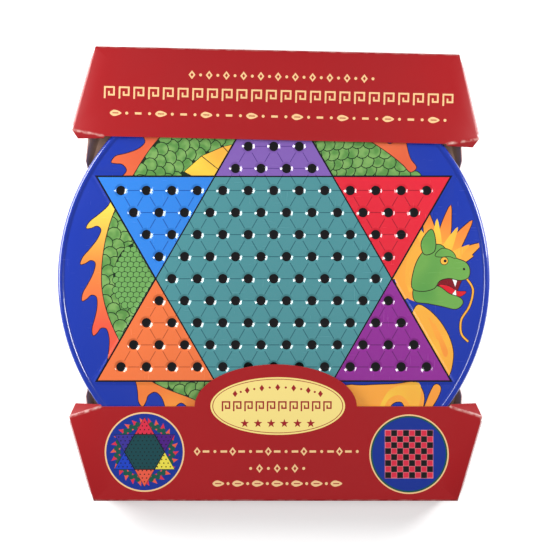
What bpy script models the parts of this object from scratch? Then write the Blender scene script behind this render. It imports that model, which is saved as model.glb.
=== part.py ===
"""Round tin Chinese checkers board in its folded card carrier.

The tin is a shallow base and a lid. The lid's face is the star board, with a pressed
dimple for each ball, and the base's face is plain for a checkerboard print. Balls, checkers
and a rules sheet are stored inside. The carrier is one card blank: a back panel with four
gusset walls, and at each end a wall and a band that fold over the tin.

Frame: the origin is on the carrier's back face under the tin's centre, +Z runs out of the
star face, and +Y points to the top band. Sizes are in metres.
"""

import math

import bmesh
import bpy
from mathutils import Matrix, Vector

# Star board: holes on a triangular grid, in a six-pointed star.
HOLE_PITCH = 0.0186
ROWS_TO_EDGE = 4
EDGE_MARGIN = 0.0102  # from the outermost full row to the star's line
DIMPLE_RADIUS = 0.0049
DIMPLE_FLOOR_RADIUS = 0.0022
DIMPLE_DEPTH = 0.0022
DIMPLE_SIDES = 6
STAR_RISE = 0.0006  # how far the star stands above the lid's field
STAR_BEVEL = 0.0008

# Tinplate shells.
SHEET = 0.0003
TIN_SEGMENTS = 48
FIELD_MARGIN = 0.0028  # from the star's tips to the rim bead
BEAD_WIDTH = 0.0060
BEAD_HEIGHT = 0.0012
SKIRT_LENGTH = 0.0120
HEM_FLARE = 0.0010
HEM_HEIGHT = 0.0014
LID_CLEARANCE = 0.0004

# What the tin stores.
BALL_DIAMETER = 0.0140
BALL_COLUMNS = 10
BALL_ROWS = 6
BAG_NET = 0.0006
CHECKER_DIAMETER = 0.0300
CHECKER_THICKNESS = 0.0058
CHECKER_SIDES = 16
STACK_COLUMNS = 4
STACK_ROWS = 2
STACK_LAYERS = 3
STACK_SPACING = 0.0010
RULES_SIZE = (0.1480, 0.1050)
PAPER_THICKNESS = 0.0006
CONTENTS_GAP = 0.0120
HEADROOM = 0.0022

# Folded card carrier.
CARD = 0.0006
GAP = 0.0003  # between pieces that touch
LID_TO_BAND = 0.0030
CREASE_HALF_WIDTH = 0.1325
BAND_SLANT_LENGTH = 0.0615
BAND_OVERHANG = 0.0120  # the band's widest corner, past the gusset wall
BAND_CORNER = 0.0040
WALL_INSET = 0.0025
TOP_GAP = 0.0073  # from the tin's edge to the end wall's outer face
BOTTOM_GAP = 0.0028
TOP_SKEW = math.radians(-1.3)  # the top end is folded slightly off square
TOP_SHIFT = 0.0027
BOTTOM_SHIFT = 0.0014
TOP_BAND_HEIGHT = 0.0655
BOTTOM_BAND_HEIGHT = 0.0690
BADGE_HALF_WIDTH = 0.0590
BADGE_HALF_HEIGHT = 0.0306
BADGE_POINTS = 20
TAB_DEPTH = 0.0120
TAB_END_MARGIN = 0.0040
GUSSET_INSET = 0.0050
GUSSET_END_HEIGHT = 0.0820  # world distance from the tin's centre, along Y
GUSSET_CLEARANCE = 0.0035
GUSSET_CHAMFER = 0.0060
WAIST_HALF_WIDTH = 0.1200

# Sizes that follow from the ones above.
ROW_SPACING = HOLE_PITCH * math.sqrt(3) / 2
STAR_LINE = ROWS_TO_EDGE * ROW_SPACING + EDGE_MARGIN
STAR_TIP = 2 * STAR_LINE
STAR_NOTCH = STAR_TIP / math.sqrt(3)
FIELD_RADIUS = STAR_TIP + FIELD_MARGIN
SKIRT_RADIUS = FIELD_RADIUS + BEAD_WIDTH
TIN_RADIUS = SKIRT_RADIUS + HEM_FLARE

BASE_BOTTOM = CARD + GAP
FLOOR_UNDER = BASE_BOTTOM + BEAD_HEIGHT
FLOOR_TOP = FLOOR_UNDER + SHEET
PAPER_BOTTOM = FLOOR_TOP + GAP
STACK_BOTTOM = PAPER_BOTTOM + PAPER_THICKNESS + GAP
STACK_TOP = STACK_BOTTOM + STACK_LAYERS * (CHECKER_THICKNESS + GAP)
DIMPLE_UNDER = max(STACK_TOP, FLOOR_TOP + 2 * GAP + BALL_DIAMETER + 2 * BAG_NET) + HEADROOM
STAR_TOP = DIMPLE_UNDER + DIMPLE_DEPTH + SHEET
FIELD_TOP = STAR_TOP - STAR_RISE
LID_TOP = FIELD_TOP + BEAD_HEIGHT
SKIRT_BOTTOM = LID_TOP - SKIRT_LENGTH
CARRIER_TOP = LID_TOP + LID_TO_BAND + CARD

CARD_RED = (0.36, 0.018, 0.020, 1.0)
CARD_BROWN = (0.25, 0.16, 0.11, 1.0)
TIN_BLUE = (0.010, 0.040, 0.32, 1.0)
PLASTIC_RED = (0.45, 0.010, 0.012, 1.0)
PLASTIC_BLACK = (0.012, 0.012, 0.014, 1.0)
NET_WHITE = (0.60, 0.62, 0.60, 1.0)
PAPER_CREAM = (0.78, 0.75, 0.66, 1.0)


def clear_scene():
    for old in list(bpy.data.objects):
        bpy.data.objects.remove(old)


def material(name, colour, roughness, metallic=0.0):
    """A plain Principled material, made once for each name."""
    found = bpy.data.materials.get(name)
    if found:
        return found
    made = bpy.data.materials.new(name)
    made.use_nodes = True
    shader = made.node_tree.nodes["Principled BSDF"]
    shader.inputs["Base Color"].default_value = colour
    shader.inputs["Roughness"].default_value = roughness
    shader.inputs["Metallic"].default_value = metallic
    made.diffuse_color = colour
    return made


def place(obj, parts, finish, parent=None):
    obj.data.materials.append(finish)
    obj.parent = parent
    parts.objects.link(obj)
    return obj


def mesh_object(name, bm, smooth_angle=math.radians(35)):
    mesh = bpy.data.meshes.new(name)
    bm.to_mesh(mesh)
    bm.free()
    mesh.shade_smooth()
    mesh.set_sharp_from_angle(angle=smooth_angle)
    return bpy.data.objects.new(name, mesh)


# Card panels ---------------------------------------------------------------------------


def panel(name, outline, thickness=CARD):
    """A flat plate: a filled 2D outline, extruded half its thickness each way."""
    curve = bpy.data.curves.new(name, "CURVE")
    curve.dimensions = "2D"
    curve.fill_mode = "BOTH"
    curve.extrude = thickness / 2
    spline = curve.splines.new("POLY")
    spline.points.add(len(outline) - 1)
    for point, (x, y) in zip(spline.points, outline):
        point.co = (x, y, 0.0, 1.0)
    spline.use_cyclic_u = True
    return bpy.data.objects.new(name, curve)


def standing_panel(name, start, end, low, high, end_cut=0.0):
    """A vertical plate over the line from start to end, its top corner cut back by end_cut."""
    along = Vector(end) - Vector(start)
    length = along.length
    outline = [(0, low), (length, low), (length - end_cut, high), (0, high)]
    plate = panel(name, outline)
    plate.location = (start[0], start[1], 0.0)
    plate.rotation_euler = (math.radians(90), 0.0, math.atan2(along.y, along.x))
    return plate


def crease(name, location, turn, parts, parent=None):
    """An empty on a fold line, which runs along its local X; local -Y faces the tin."""
    fold = bpy.data.objects.new(name, None)
    fold.location = location
    fold.rotation_euler = (0.0, 0.0, turn)
    fold.parent = parent
    parts.objects.link(fold)
    return fold


def gusset_ends(rear_crease, sign):
    """World points of a gusset wall, from beside the end wall to its free end past the tin."""
    upright = rear_crease.matrix_world
    first = upright @ Vector((sign * (CREASE_HALF_WIDTH - GUSSET_INSET), -2 * CARD, 0.0))
    up = 1 if first.y > 0 else -1
    across = 1 if first.x > 0 else -1
    reach = TIN_RADIUS + GUSSET_CLEARANCE
    last_y = up * GUSSET_END_HEIGHT
    last = Vector((across * math.sqrt(reach**2 - GUSSET_END_HEIGHT**2), last_y, 0.0))
    return first, last


def band_half_width(rear_crease):
    """Half of a band's greatest width: its corners overhang the gusset walls on both sides."""
    to_local = rear_crease.matrix_world.inverted()
    widths = []
    for sign in (-1, 1):
        first, last = (to_local @ point for point in gusset_ends(rear_crease, sign))
        share = (BAND_SLANT_LENGTH + first.y) / (first.y - last.y)
        widths.append(abs(first.lerp(last, share).x))
    return max(widths) + BAND_OVERHANG


def band_outline(half_width, height):
    """Outline of a plain band, from its crease at y = 0 towards the tin."""
    right = [
        (half_width - BAND_CORNER, -height),
        (half_width, -BAND_SLANT_LENGTH),
        (CREASE_HALF_WIDTH, 0.0),
    ]
    return right + [(-x, y) for x, y in reversed(right)]


def badge_arc(height):
    """The half-ellipse that rises from the bottom band's free edge, left to right."""
    points = []
    for step in range(BADGE_POINTS + 1):
        angle = math.pi * step / BADGE_POINTS
        points.append(
            (
                -BADGE_HALF_WIDTH * math.cos(angle),
                -height - BADGE_HALF_HEIGHT * math.sin(angle),
            )
        )
    return points


def carrier_end(word, rear_crease, height, has_badge, parts, card):
    """The folding end: a wall on the back panel's crease, a band over the tin, two side tabs."""
    wall_top = CARRIER_TOP - CARD - GAP
    half = CREASE_HALF_WIDTH - WALL_INSET
    wall = standing_panel(f"carrier_{word}_wall", (-half, -CARD / 2), (half, -CARD / 2), 0.0, wall_top)
    place(wall, parts, card, rear_crease)

    front_crease = crease(f"{word}_front_crease", (0.0, 0.0, CARRIER_TOP), 0.0, parts, rear_crease)
    half_width = band_half_width(rear_crease)
    outline = band_outline(half_width, height)
    if has_badge:
        outline = badge_arc(height) + outline
    band = panel(f"carrier_{word}_band", outline)
    band.location = (0.0, 0.0, -CARD / 2)
    place(band, parts, card, front_crease)

    corner = Vector((CREASE_HALF_WIDTH, 0.0))
    slant = Vector((half_width - CREASE_HALF_WIDTH, -BAND_SLANT_LENGTH))
    margin = slant.normalized() * TAB_END_MARGIN
    inward = Vector((slant.y, -slant.x)).normalized() * (CARD / 2 + GAP)
    first = corner + margin + inward
    last = corner + slant - margin + inward
    tab_top = -CARD - GAP
    for side, sign in (("left", -1), ("right", 1)):
        tab = standing_panel(
            f"carrier_{word}_tab_{side}",
            (sign * first.x, first.y),
            (sign * last.x, last.y),
            tab_top - TAB_DEPTH,
            tab_top,
        )
        place(tab, parts, card, front_crease)


def gusset_walls(top, bottom, parts, card):
    """Four slanted walls that stand on the back panel and keep the tin from sliding out."""
    corners = {}
    for rear_crease, word in ((top, "upper"), (bottom, "lower")):
        for sign in (-1, 1):
            first, last = gusset_ends(rear_crease, sign)
            side = "right" if first.x > 0 else "left"
            corners[word, side] = (first, last)
            wall = standing_panel(
                f"carrier_gusset_{word}_{side}",
                first.xy,
                last.xy,
                CARD + GAP,
                CARRIER_TOP - CARD - GAP,
                GUSSET_CHAMFER,
            )
            place(wall, parts, card)
    return corners


def back_panel(top, bottom, corners, parts, card):
    """The flat panel under the tin, from crease to crease, waisted between the gussets."""

    def crease_point(rear_crease, x):
        return (rear_crease.matrix_world @ Vector((x, -CARD - GAP, 0.0))).xy

    def side(name, sign):
        upper, lower = corners["upper", name][1], corners["lower", name][1]
        lip = sign * CARD
        waist = sign * WAIST_HALF_WIDTH
        dip = GUSSET_END_HEIGHT - (abs(upper.x) - WAIST_HALF_WIDTH)
        return [
            (upper.x + lip, upper.y),
            (waist, dip),
            (waist, -dip),
            (lower.x + lip, lower.y),
        ]

    half = CREASE_HALF_WIDTH - WALL_INSET
    outline = [crease_point(top, half), *side("right", 1)]
    outline += [crease_point(bottom, -half), crease_point(bottom, half)]
    outline += [*reversed(side("left", -1)), crease_point(top, -half)]
    plate = panel("carrier_back_panel", outline)
    plate.location = (0.0, 0.0, CARD / 2)
    place(plate, parts, card)


# Tin -----------------------------------------------------------------------------------


def hole_centres():
    """Centres of the star's holes: grid points inside either of two crossed triangles."""
    centres = []
    reach = range(-2 * ROWS_TO_EDGE, 2 * ROWS_TO_EDGE + 1)
    for row in reach:
        for column in reach:
            third = -row - column
            spread = (column, row, third)
            if max(spread) <= ROWS_TO_EDGE or min(spread) >= -ROWS_TO_EDGE:
                centres.append((HOLE_PITCH * (column + row / 2), ROW_SPACING * row))
    return centres


def closed_loop(bm, points):
    verts = [bm.verts.new(point) for point in points]
    return [bm.edges.new((a, b)) for a, b in zip(verts, verts[1:] + verts[:1])]


def star_loop(bm, grow, height):
    """The star's outline, each side moved out by grow."""
    points = []
    for step in range(12):
        radius = (STAR_TIP + 2 * grow) if step % 2 == 0 else (STAR_NOTCH + grow * 2 / math.sqrt(3))
        angle = math.radians(90 + 30 * step)
        points.append((radius * math.cos(angle), radius * math.sin(angle), height))
    return closed_loop(bm, points)


def press_dimple(bm, edges):
    """Draws a hole's edge down and in, then closes the bottom."""
    made = bmesh.ops.extrude_edge_only(bm, edges=edges)["geom"]
    verts = [g for g in made if isinstance(g, bmesh.types.BMVert)]
    centre = sum((v.co for v in verts), Vector()) / len(verts)
    for vert in verts:
        flat = (vert.co - centre) * (DIMPLE_FLOOR_RADIUS / DIMPLE_RADIUS)
        vert.co = centre + flat - Vector((0.0, 0.0, DIMPLE_DEPTH))
    bottom = [g for g in made if isinstance(g, bmesh.types.BMEdge)]
    bmesh.ops.edgeloop_fill(bm, edges=bottom)


def bead_profile(top, direction):
    """Rounded rim bead outside the field; direction is 1 for the lid and -1 for the base."""
    drop = direction * BEAD_HEIGHT
    return [
        (FIELD_RADIUS, top - drop),
        (FIELD_RADIUS + 0.22 * BEAD_WIDTH, top - 0.75 * drop),
        (FIELD_RADIUS + 0.45 * BEAD_WIDTH, top - 0.10 * drop),
        (FIELD_RADIUS + 0.72 * BEAD_WIDTH, top),
        (FIELD_RADIUS + 0.93 * BEAD_WIDTH, top - 0.5 * drop),
        (SKIRT_RADIUS, top - 1.6 * drop),
    ]


def lid(parts, finish):
    """Drawn lid: bead, skirt and hem turned from a profile, and a raised star with dimples."""
    bm = bmesh.new()
    profile = bead_profile(LID_TOP, 1) + [
        (SKIRT_RADIUS, SKIRT_BOTTOM + HEM_HEIGHT),
        (TIN_RADIUS, SKIRT_BOTTOM + HEM_HEIGHT / 2),
        (TIN_RADIUS, SKIRT_BOTTOM),
    ]
    verts = [bm.verts.new((radius, 0.0, z)) for radius, z in profile]
    edges = [bm.edges.new(pair) for pair in zip(verts, verts[1:])]
    bmesh.ops.spin(
        bm,
        geom=verts + edges,
        axis=(0, 0, 1),
        cent=(0, 0, 0),
        angle=math.tau,
        steps=TIN_SEGMENTS,
        use_merge=True,
    )
    bmesh.ops.remove_doubles(bm, verts=bm.verts, dist=1e-6)
    rim = [
        edge
        for edge in bm.edges
        if edge.is_boundary and all(v.co.xy.length < FIELD_RADIUS + 1e-5 for v in edge.verts)
    ]
    foot = star_loop(bm, STAR_BEVEL, FIELD_TOP)
    crown = star_loop(bm, 0.0, STAR_TOP)
    bmesh.ops.triangle_fill(bm, use_beauty=True, edges=rim + foot, normal=(0, 0, 1))
    bmesh.ops.bridge_loops(bm, edges=foot + crown)
    rings = []
    for x, y in hole_centres():
        ring = []
        for side in range(DIMPLE_SIDES):
            angle = math.tau * side / DIMPLE_SIDES
            ring.append((x + DIMPLE_RADIUS * math.cos(angle), y + DIMPLE_RADIUS * math.sin(angle), STAR_TOP))
        rings.append(closed_loop(bm, ring))
    edges = crown + [edge for ring in rings for edge in ring]
    bmesh.ops.triangle_fill(bm, use_beauty=True, edges=edges, normal=(0, 0, 1))
    for ring in rings:
        press_dimple(bm, ring)
    bmesh.ops.recalc_face_normals(bm, faces=bm.faces)
    if sum(face.normal.z * face.calc_area() for face in bm.faces) < 0:
        bmesh.ops.reverse_faces(bm, faces=bm.faces)
    shell = mesh_object("tin_lid", bm)
    wall = shell.modifiers.new("sheet", "SOLIDIFY")
    wall.thickness = SHEET
    wall.offset = -1.0
    wall.use_even_offset = True
    place(shell, parts, finish)


def base(parts, finish):
    """Drawn base: one turned sheet, from the floor's centre out over the bead to the rim."""
    inner = SKIRT_RADIUS - SHEET - LID_CLEARANCE
    shoulder = SKIRT_BOTTOM - LID_CLEARANCE
    rim_top = FIELD_TOP - SHEET - 2 * LID_CLEARANCE
    profile = [(0.0, FLOOR_UNDER)] + bead_profile(BASE_BOTTOM, -1)[:4]
    profile += [
        (SKIRT_RADIUS - HEM_FLARE, BASE_BOTTOM + 0.4 * BEAD_HEIGHT),
        (TIN_RADIUS, BASE_BOTTOM + 2 * BEAD_HEIGHT),
        (TIN_RADIUS, shoulder - 2 * HEM_FLARE),
        (inner, shoulder),
        (inner, rim_top),
    ]
    bm = bmesh.new()
    verts = [bm.verts.new((radius, 0.0, z)) for radius, z in reversed(profile)]
    for pair in zip(verts, verts[1:]):
        bm.edges.new(pair)
    shell = mesh_object("tin_base", bm)
    turn = shell.modifiers.new("turn", "SCREW")
    turn.steps = turn.render_steps = TIN_SEGMENTS
    turn.use_merge_vertices = True
    turn.merge_threshold = 0.00001
    turn.use_smooth_shade = True
    wall = shell.modifiers.new("sheet", "SOLIDIFY")
    wall.thickness = SHEET
    wall.offset = -1.0
    wall.use_even_offset = True
    return place(shell, parts, finish)


# Contents ------------------------------------------------------------------------------


def ball_bag(parts, finish, tin):
    """Envelope of a net bag that holds one layer of close-packed balls."""
    radius = BALL_DIAMETER / 2
    width = BALL_COLUMNS * BALL_DIAMETER + radius + 2 * BAG_NET
    depth = (BALL_ROWS - 1) * BALL_DIAMETER * math.sqrt(3) / 2 + BALL_DIAMETER + 2 * BAG_NET
    height = BALL_DIAMETER + 2 * BAG_NET
    bm = bmesh.new()
    bmesh.ops.create_cube(bm, size=1.0, matrix=Matrix.Diagonal((width, depth, height, 1.0)))
    bag = mesh_object("ball_bag", bm)
    bag.location = (0.0, CONTENTS_GAP / 2 + depth / 2, FLOOR_TOP + GAP + height / 2)
    rounding = bag.modifiers.new("rounding", "BEVEL")
    rounding.width = 0.85 * radius
    rounding.segments = 2
    place(bag, parts, finish, tin)


def checkers(parts, red, black, tin):
    """Stacks of round checkers, red ones on the left half and black ones on the right."""
    bm = bmesh.new()
    bmesh.ops.create_cone(
        bm,
        cap_ends=True,
        segments=CHECKER_SIDES,
        radius1=CHECKER_DIAMETER / 2,
        radius2=CHECKER_DIAMETER / 2,
        depth=CHECKER_THICKNESS,
    )
    first = mesh_object("checker", bm)
    shared = first.data
    bpy.data.objects.remove(first)
    twin = shared.copy()
    shared.materials.append(red)
    twin.materials.append(black)
    spacing = CHECKER_DIAMETER + STACK_SPACING
    depth = STACK_ROWS * spacing
    counts = {"red": 0, "black": 0}
    for column in range(STACK_COLUMNS):
        colour = "red" if column < STACK_COLUMNS / 2 else "black"
        for row in range(STACK_ROWS):
            for layer in range(STACK_LAYERS):
                counts[colour] += 1
                name = f"checker_{colour}_{counts[colour]:02d}"
                piece = bpy.data.objects.new(name, shared if colour == "red" else twin)
                piece.location = (
                    (column - (STACK_COLUMNS - 1) / 2) * spacing,
                    -CONTENTS_GAP / 2 - depth + (row + 0.5) * spacing,
                    STACK_BOTTOM + CHECKER_THICKNESS / 2 + layer * (CHECKER_THICKNESS + GAP),
                )
                piece.parent = tin
                parts.objects.link(piece)
    return depth


def rules_sheet(stack_depth, parts, finish, tin):
    """Folded paper that lies on the floor under the checkers."""
    half_width, half_depth = (size / 2 for size in RULES_SIZE)
    outline = [
        (-half_width, -half_depth),
        (half_width, -half_depth),
        (half_width, half_depth),
        (-half_width, half_depth),
    ]
    sheet = panel("rules_sheet", outline, PAPER_THICKNESS)
    middle = -CONTENTS_GAP / 2 - max(stack_depth, RULES_SIZE[1]) / 2
    sheet.location = (0.0, middle, PAPER_BOTTOM + PAPER_THICKNESS / 2)
    place(sheet, parts, finish, tin)


def main():
    clear_scene()
    parts = bpy.data.collections.new("chinese_checkers_board")
    bpy.context.scene.collection.children.link(parts)
    card = material("printed_card", CARD_RED, 0.35)
    tray = material("card_tray", CARD_RED, 0.35)
    tinplate = material("printed_tinplate", TIN_BLUE, 0.25, 0.2)

    top = crease("top_rear_crease", (TOP_SHIFT, TIN_RADIUS + TOP_GAP, 0.0), TOP_SKEW, parts)
    bottom = crease(
        "bottom_rear_crease",
        (BOTTOM_SHIFT, -TIN_RADIUS - BOTTOM_GAP, 0.0),
        math.pi,
        parts,
    )
    bpy.context.view_layer.update()
    carrier_end("top", top, TOP_BAND_HEIGHT, False, parts, card)
    carrier_end("bottom", bottom, BOTTOM_BAND_HEIGHT, True, parts, card)
    corners = gusset_walls(top, bottom, parts, material("card_gusset", CARD_BROWN, 0.9))
    back_panel(top, bottom, corners, parts, tray)

    tin = base(parts, tinplate)
    lid(parts, tinplate)

    ball_bag(parts, material("net_bag", NET_WHITE, 0.5), tin)
    stack_depth = checkers(
        parts,
        material("red_plastic", PLASTIC_RED, 0.25),
        material("black_plastic", PLASTIC_BLACK, 0.25),
        tin,
    )
    rules_sheet(stack_depth, parts, material("paper", PAPER_CREAM, 0.8), tin)


main()
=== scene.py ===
"""Star-board game tin in its folded card carrier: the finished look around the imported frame."""

import math
import random

import bmesh
import bpy
from mathutils import Matrix, Vector
from mathutils.geometry import delaunay_2d_cdt


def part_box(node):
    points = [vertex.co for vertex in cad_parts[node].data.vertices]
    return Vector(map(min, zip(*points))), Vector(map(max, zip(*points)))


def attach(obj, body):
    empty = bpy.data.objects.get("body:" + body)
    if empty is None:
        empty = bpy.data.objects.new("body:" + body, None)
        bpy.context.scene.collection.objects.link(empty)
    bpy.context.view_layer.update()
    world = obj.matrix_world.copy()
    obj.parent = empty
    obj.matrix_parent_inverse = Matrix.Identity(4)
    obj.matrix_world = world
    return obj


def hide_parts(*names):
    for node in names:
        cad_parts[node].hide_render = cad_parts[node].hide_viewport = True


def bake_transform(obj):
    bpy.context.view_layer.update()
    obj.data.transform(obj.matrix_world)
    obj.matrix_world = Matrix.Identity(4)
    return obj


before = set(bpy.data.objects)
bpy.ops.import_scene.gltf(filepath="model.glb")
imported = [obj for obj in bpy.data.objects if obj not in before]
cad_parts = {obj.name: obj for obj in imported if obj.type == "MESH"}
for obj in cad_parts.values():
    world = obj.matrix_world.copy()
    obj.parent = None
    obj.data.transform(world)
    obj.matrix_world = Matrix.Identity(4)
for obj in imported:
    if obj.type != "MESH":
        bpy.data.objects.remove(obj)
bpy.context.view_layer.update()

# Carrier back panel
# The carrier is one blank of 0.6 mm folding board, printed red and varnished outside and raw
# grey-brown inside, where its colour is painted lighter as painted light for its shaded gaps. Its
# middle lies under the tin and runs into a rounded fold at each end.

MM = 0.001
BOARD = 0.6  # every size from here on is in millimetres
FOLD_RADIUS = 1.5
WALL_HALF = 130.0  # half the length of each end fold
WAIST = 120.0  # half the panel's width between the gussets
GUSSET_FOLD_RADIUS = 1.2
GUSSET_SETBACK = 2.2  # how far inside the end fold's tip a gusset starts
GUSSET_REACH = 3.5  # how far outside the tin its free end stands
GUSSET_END = 82.0  # how far from the tin's middle line it ends
CORNER_STEP = 1.6  # from a gusset's start to the panel's corner

tin_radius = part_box("tin_lid")[1].x / MM
carrier_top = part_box("carrier_bottom_band")[1].z / MM

# The end folds lie a little off the tin's centre, and the top one is also off square.
TOP_TILT = math.radians(-1.3)
TOP_END = Matrix.Translation((2.7, tin_radius + 7.3, 0)) @ Matrix.Rotation(TOP_TILT, 4, "Z")
BOTTOM_END = Matrix.Translation((1.4, -tin_radius - 2.8, 0)) @ Matrix.Rotation(math.pi, 4, "Z")


def colour(red, green, blue):
    """A Base Color value from the 0 to 255 numbers of a printer's swatch."""
    channels = [c / 255 for c in (red, green, blue)]
    return (*[c / 12.92 if c <= 0.04045 else ((c + 0.055) / 1.055) ** 2.4 for c in channels], 1.0)


def signed_area(outline):
    """An outline's area, positive where it runs anticlockwise."""
    return sum(a[0] * b[1] - b[0] * a[1] for a, b in zip(outline, outline[1:] + outline[:1])) / 2


def wound(outline):
    """The outline, turned to run anticlockwise."""
    return list(outline) if signed_area(outline) > 0 else list(outline)[::-1]


def lay_out(boundary, painted=(), guides=()):
    """Cuts a flat outline, in millimetres, along what is painted on it.

    Painted shapes are (ink, outline) pairs and later ones cover earlier ones. Guides are open
    lines that only add edges. Returns the points, the triangles and each triangle's ink.
    """
    points, faces, edges = [], [], []
    for _, outline in [("", boundary), *painted]:
        first = len(points)
        points += wound(outline)
        faces.append(list(range(first, len(points))))
    for line in guides:
        first = len(points)
        points += line
        edges += [(i, i + 1) for i in range(first, len(points) - 1)]
    flat = [Vector((x, y)) for x, y in points]
    cut, _, triangles, _, _, owners = delaunay_2d_cdt(flat, edges, faces, 1, 1e-5, True)
    kept, inks = [], []
    for triangle, owner in zip(triangles, owners):
        if 0 in owner:
            kept.append(triangle)
            inks.append(painted[max(owner) - 1][0] if max(owner) else "")
    used = sorted({i for triangle in kept for i in triangle})
    place = {old: new for new, old in enumerate(used)}
    kept = [tuple(place[i] for i in triangle) for triangle in kept]
    return [cut[i] for i in used], kept, inks


def shown(name, mesh):
    """A new object in the scene."""
    obj = bpy.data.objects.new(name, mesh)
    bpy.context.scene.collection.objects.link(obj)
    return obj


def finished(obj, sharp=35):
    """The object with its modifiers applied to its mesh."""
    bpy.context.view_layer.update()
    evaluated = obj.evaluated_get(bpy.context.evaluated_depsgraph_get())
    mesh = bpy.data.meshes.new_from_object(evaluated)
    obj.modifiers.clear()
    obj.data = mesh
    mesh.shade_smooth()
    mesh.set_sharp_from_angle(angle=math.radians(sharp))
    return obj


def sheet(name, layout, lift, finishes, inside, edge, thickness, creased=None):
    """A laid-out flat pattern, lifted into place and given its thickness on the back.

    Finishes are the print's materials by ink. Creased gives how worn a point of the pattern is, and
    where a painted crease highlight lies.
    """
    points, triangles, inks = layout
    mesh = bpy.data.meshes.new(name)
    mesh.from_pydata([Vector(lift(x, y)) * MM for x, y in points], [], triangles)
    order = sorted(set(inks))
    mesh.materials.append(edge)
    for ink in order:
        mesh.materials.append(finishes[ink])
    mesh.materials.append(inside)
    mesh.polygons.foreach_set("material_index", [1 + order.index(ink) for ink in inks])
    if creased:
        fold = mesh.attributes.new("fold", "FLOAT", "POINT")
        fold.data.foreach_set("value", [creased(x, y) for x, y in points])
    obj = shown(name, mesh)
    skin = obj.modifiers.new("thickness", "SOLIDIFY")
    skin.thickness = thickness * MM
    skin.offset = -1.0
    skin.material_offset = len(order) + 1
    skin.material_offset_rim = -len(order) - 1
    return finished(obj)


def new_group(name, inputs, outputs):
    """An empty shader node group with these named sockets, and its input and output nodes."""
    tree = bpy.data.node_groups.new(name, "ShaderNodeTree")
    for label, kind, value in inputs:
        tree.interface.new_socket(label, in_out="INPUT", socket_type=kind).default_value = value
    for label, kind in outputs:
        tree.interface.new_socket(label, in_out="OUTPUT", socket_type=kind)
    return tree, tree.nodes.new("NodeGroupInput"), tree.nodes.new("NodeGroupOutput")


def node(tree, kind, settings=None, **values):
    """A new node; settings are its own options, and values go to inputs named in snake case."""
    made = tree.nodes.new(kind)
    for key, value in (settings or {}).items():
        setattr(made, key, value)
    for key, value in values.items():
        made.inputs[key.replace("_", " ").title()].default_value = value
    return made


def maths(tree, operation, first, second):
    """A Math node on two values, each a number or another node's socket."""
    made = tree.nodes.new("ShaderNodeMath")
    made.operation = operation
    for socket, value in zip(made.inputs, (first, second)):
        if isinstance(value, (int, float)):
            socket.default_value = value
        else:
            tree.links.new(value, socket)
    return made.outputs[0]


def blended(tree, factor, first, second):
    """A colour Mix node between two colours, each a value or a socket."""
    made = tree.nodes.new("ShaderNodeMix")
    made.data_type = "RGBA"
    tree.links.new(factor, made.inputs[0])
    for socket, value in ((made.inputs[6], first), (made.inputs[7], second)):
        if isinstance(value, tuple):
            socket.default_value = value
        else:
            tree.links.new(value, socket)
    return made.outputs[2]


def grain(tree, scale, detail=3.0, stretch=None):
    """Noise over the object's own coordinates, as a socket from 0 to 1."""
    where = tree.nodes.new("ShaderNodeTexCoord")
    made = node(tree, "ShaderNodeTexNoise", scale=scale, detail=detail)
    if stretch:
        squeeze = node(tree, "ShaderNodeMapping", scale=stretch)
        tree.links.new(where.outputs["Object"], squeeze.inputs["Vector"])
        tree.links.new(squeeze.outputs[0], made.inputs["Vector"])
    else:
        tree.links.new(where.outputs["Object"], made.inputs["Vector"])
    return made.outputs["Fac"]


def between(tree, value, low, high, out_low=0.0, out_high=1.0):
    """A value mapped from one range to another, clamped."""
    made = tree.nodes.new("ShaderNodeMapRange")
    tree.links.new(value, made.inputs[0])
    for index, number in enumerate((low, high, out_low, out_high), start=1):
        made.inputs[index].default_value = number
    return made.outputs[0]


# Board wear and painted highlight: ink that rubs off along the folds, whitened along the toes'
# crease also as a painted highlight, faint clouding, and the board's fibre.
SURFACE_SOCKETS = [
    ("Color", "NodeSocketColor"),
    ("Roughness", "NodeSocketFloat"),
    ("Height", "NodeSocketFloat"),
]
board_wear_and_highlight, board_in, board_out = new_group(
    "board_wear_and_highlight",
    [
        ("Print", "NodeSocketColor", colour(170, 30, 34)),
        ("Core", "NodeSocketColor", colour(225, 190, 180)),
    ],
    SURFACE_SOCKETS,
)
cloud = grain(board_wear_and_highlight, 14.0)
fibre = grain(board_wear_and_highlight, 900.0)
patch_noise = grain(board_wear_and_highlight, 160.0, 5.0)
fold_mark = node(board_wear_and_highlight, "ShaderNodeAttribute", {"attribute_name": "fold"})
clouding = between(board_wear_and_highlight, cloud, 0.3, 0.75, 0.0, 0.14)
faded = blended(board_wear_and_highlight, clouding, board_in.outputs["Print"], colour(110, 14, 20))
patches = between(board_wear_and_highlight, patch_noise, 0.42, 0.68)
# The fold mark's whitening is wear, and on the toes' crease also a painted highlight.
scuff_and_highlight = maths(board_wear_and_highlight, "MULTIPLY", fold_mark.outputs["Fac"], patches)
worn_and_highlit = blended(board_wear_and_highlight, scuff_and_highlight, faded, board_in.outputs["Core"])
board_wear_and_highlight.links.new(worn_and_highlit, board_out.inputs["Color"])
varnish = between(board_wear_and_highlight, cloud, 0.2, 0.8, 0.26, 0.42)
rough = maths(board_wear_and_highlight, "ADD", varnish, maths(board_wear_and_highlight, "MULTIPLY", scuff_and_highlight, 0.3))
board_wear_and_highlight.links.new(rough, board_out.inputs["Roughness"])
relief = maths(board_wear_and_highlight, "ADD", maths(board_wear_and_highlight, "MULTIPLY", fibre, 0.25), cloud)
board_wear_and_highlight.links.new(relief, board_out.inputs["Height"])


def material(name, base, roughness=0.5, **values):
    """A Principled material; values go to inputs named in snake case."""
    made = bpy.data.materials.new(name)
    made.use_nodes = True
    shader = made.node_tree.nodes["Principled BSDF"]
    shader.inputs["Base Color"].default_value = base
    shader.inputs["Roughness"].default_value = roughness
    for key, value in values.items():
        shader.inputs[key.replace("_", " ")].default_value = value
    return made


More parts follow.
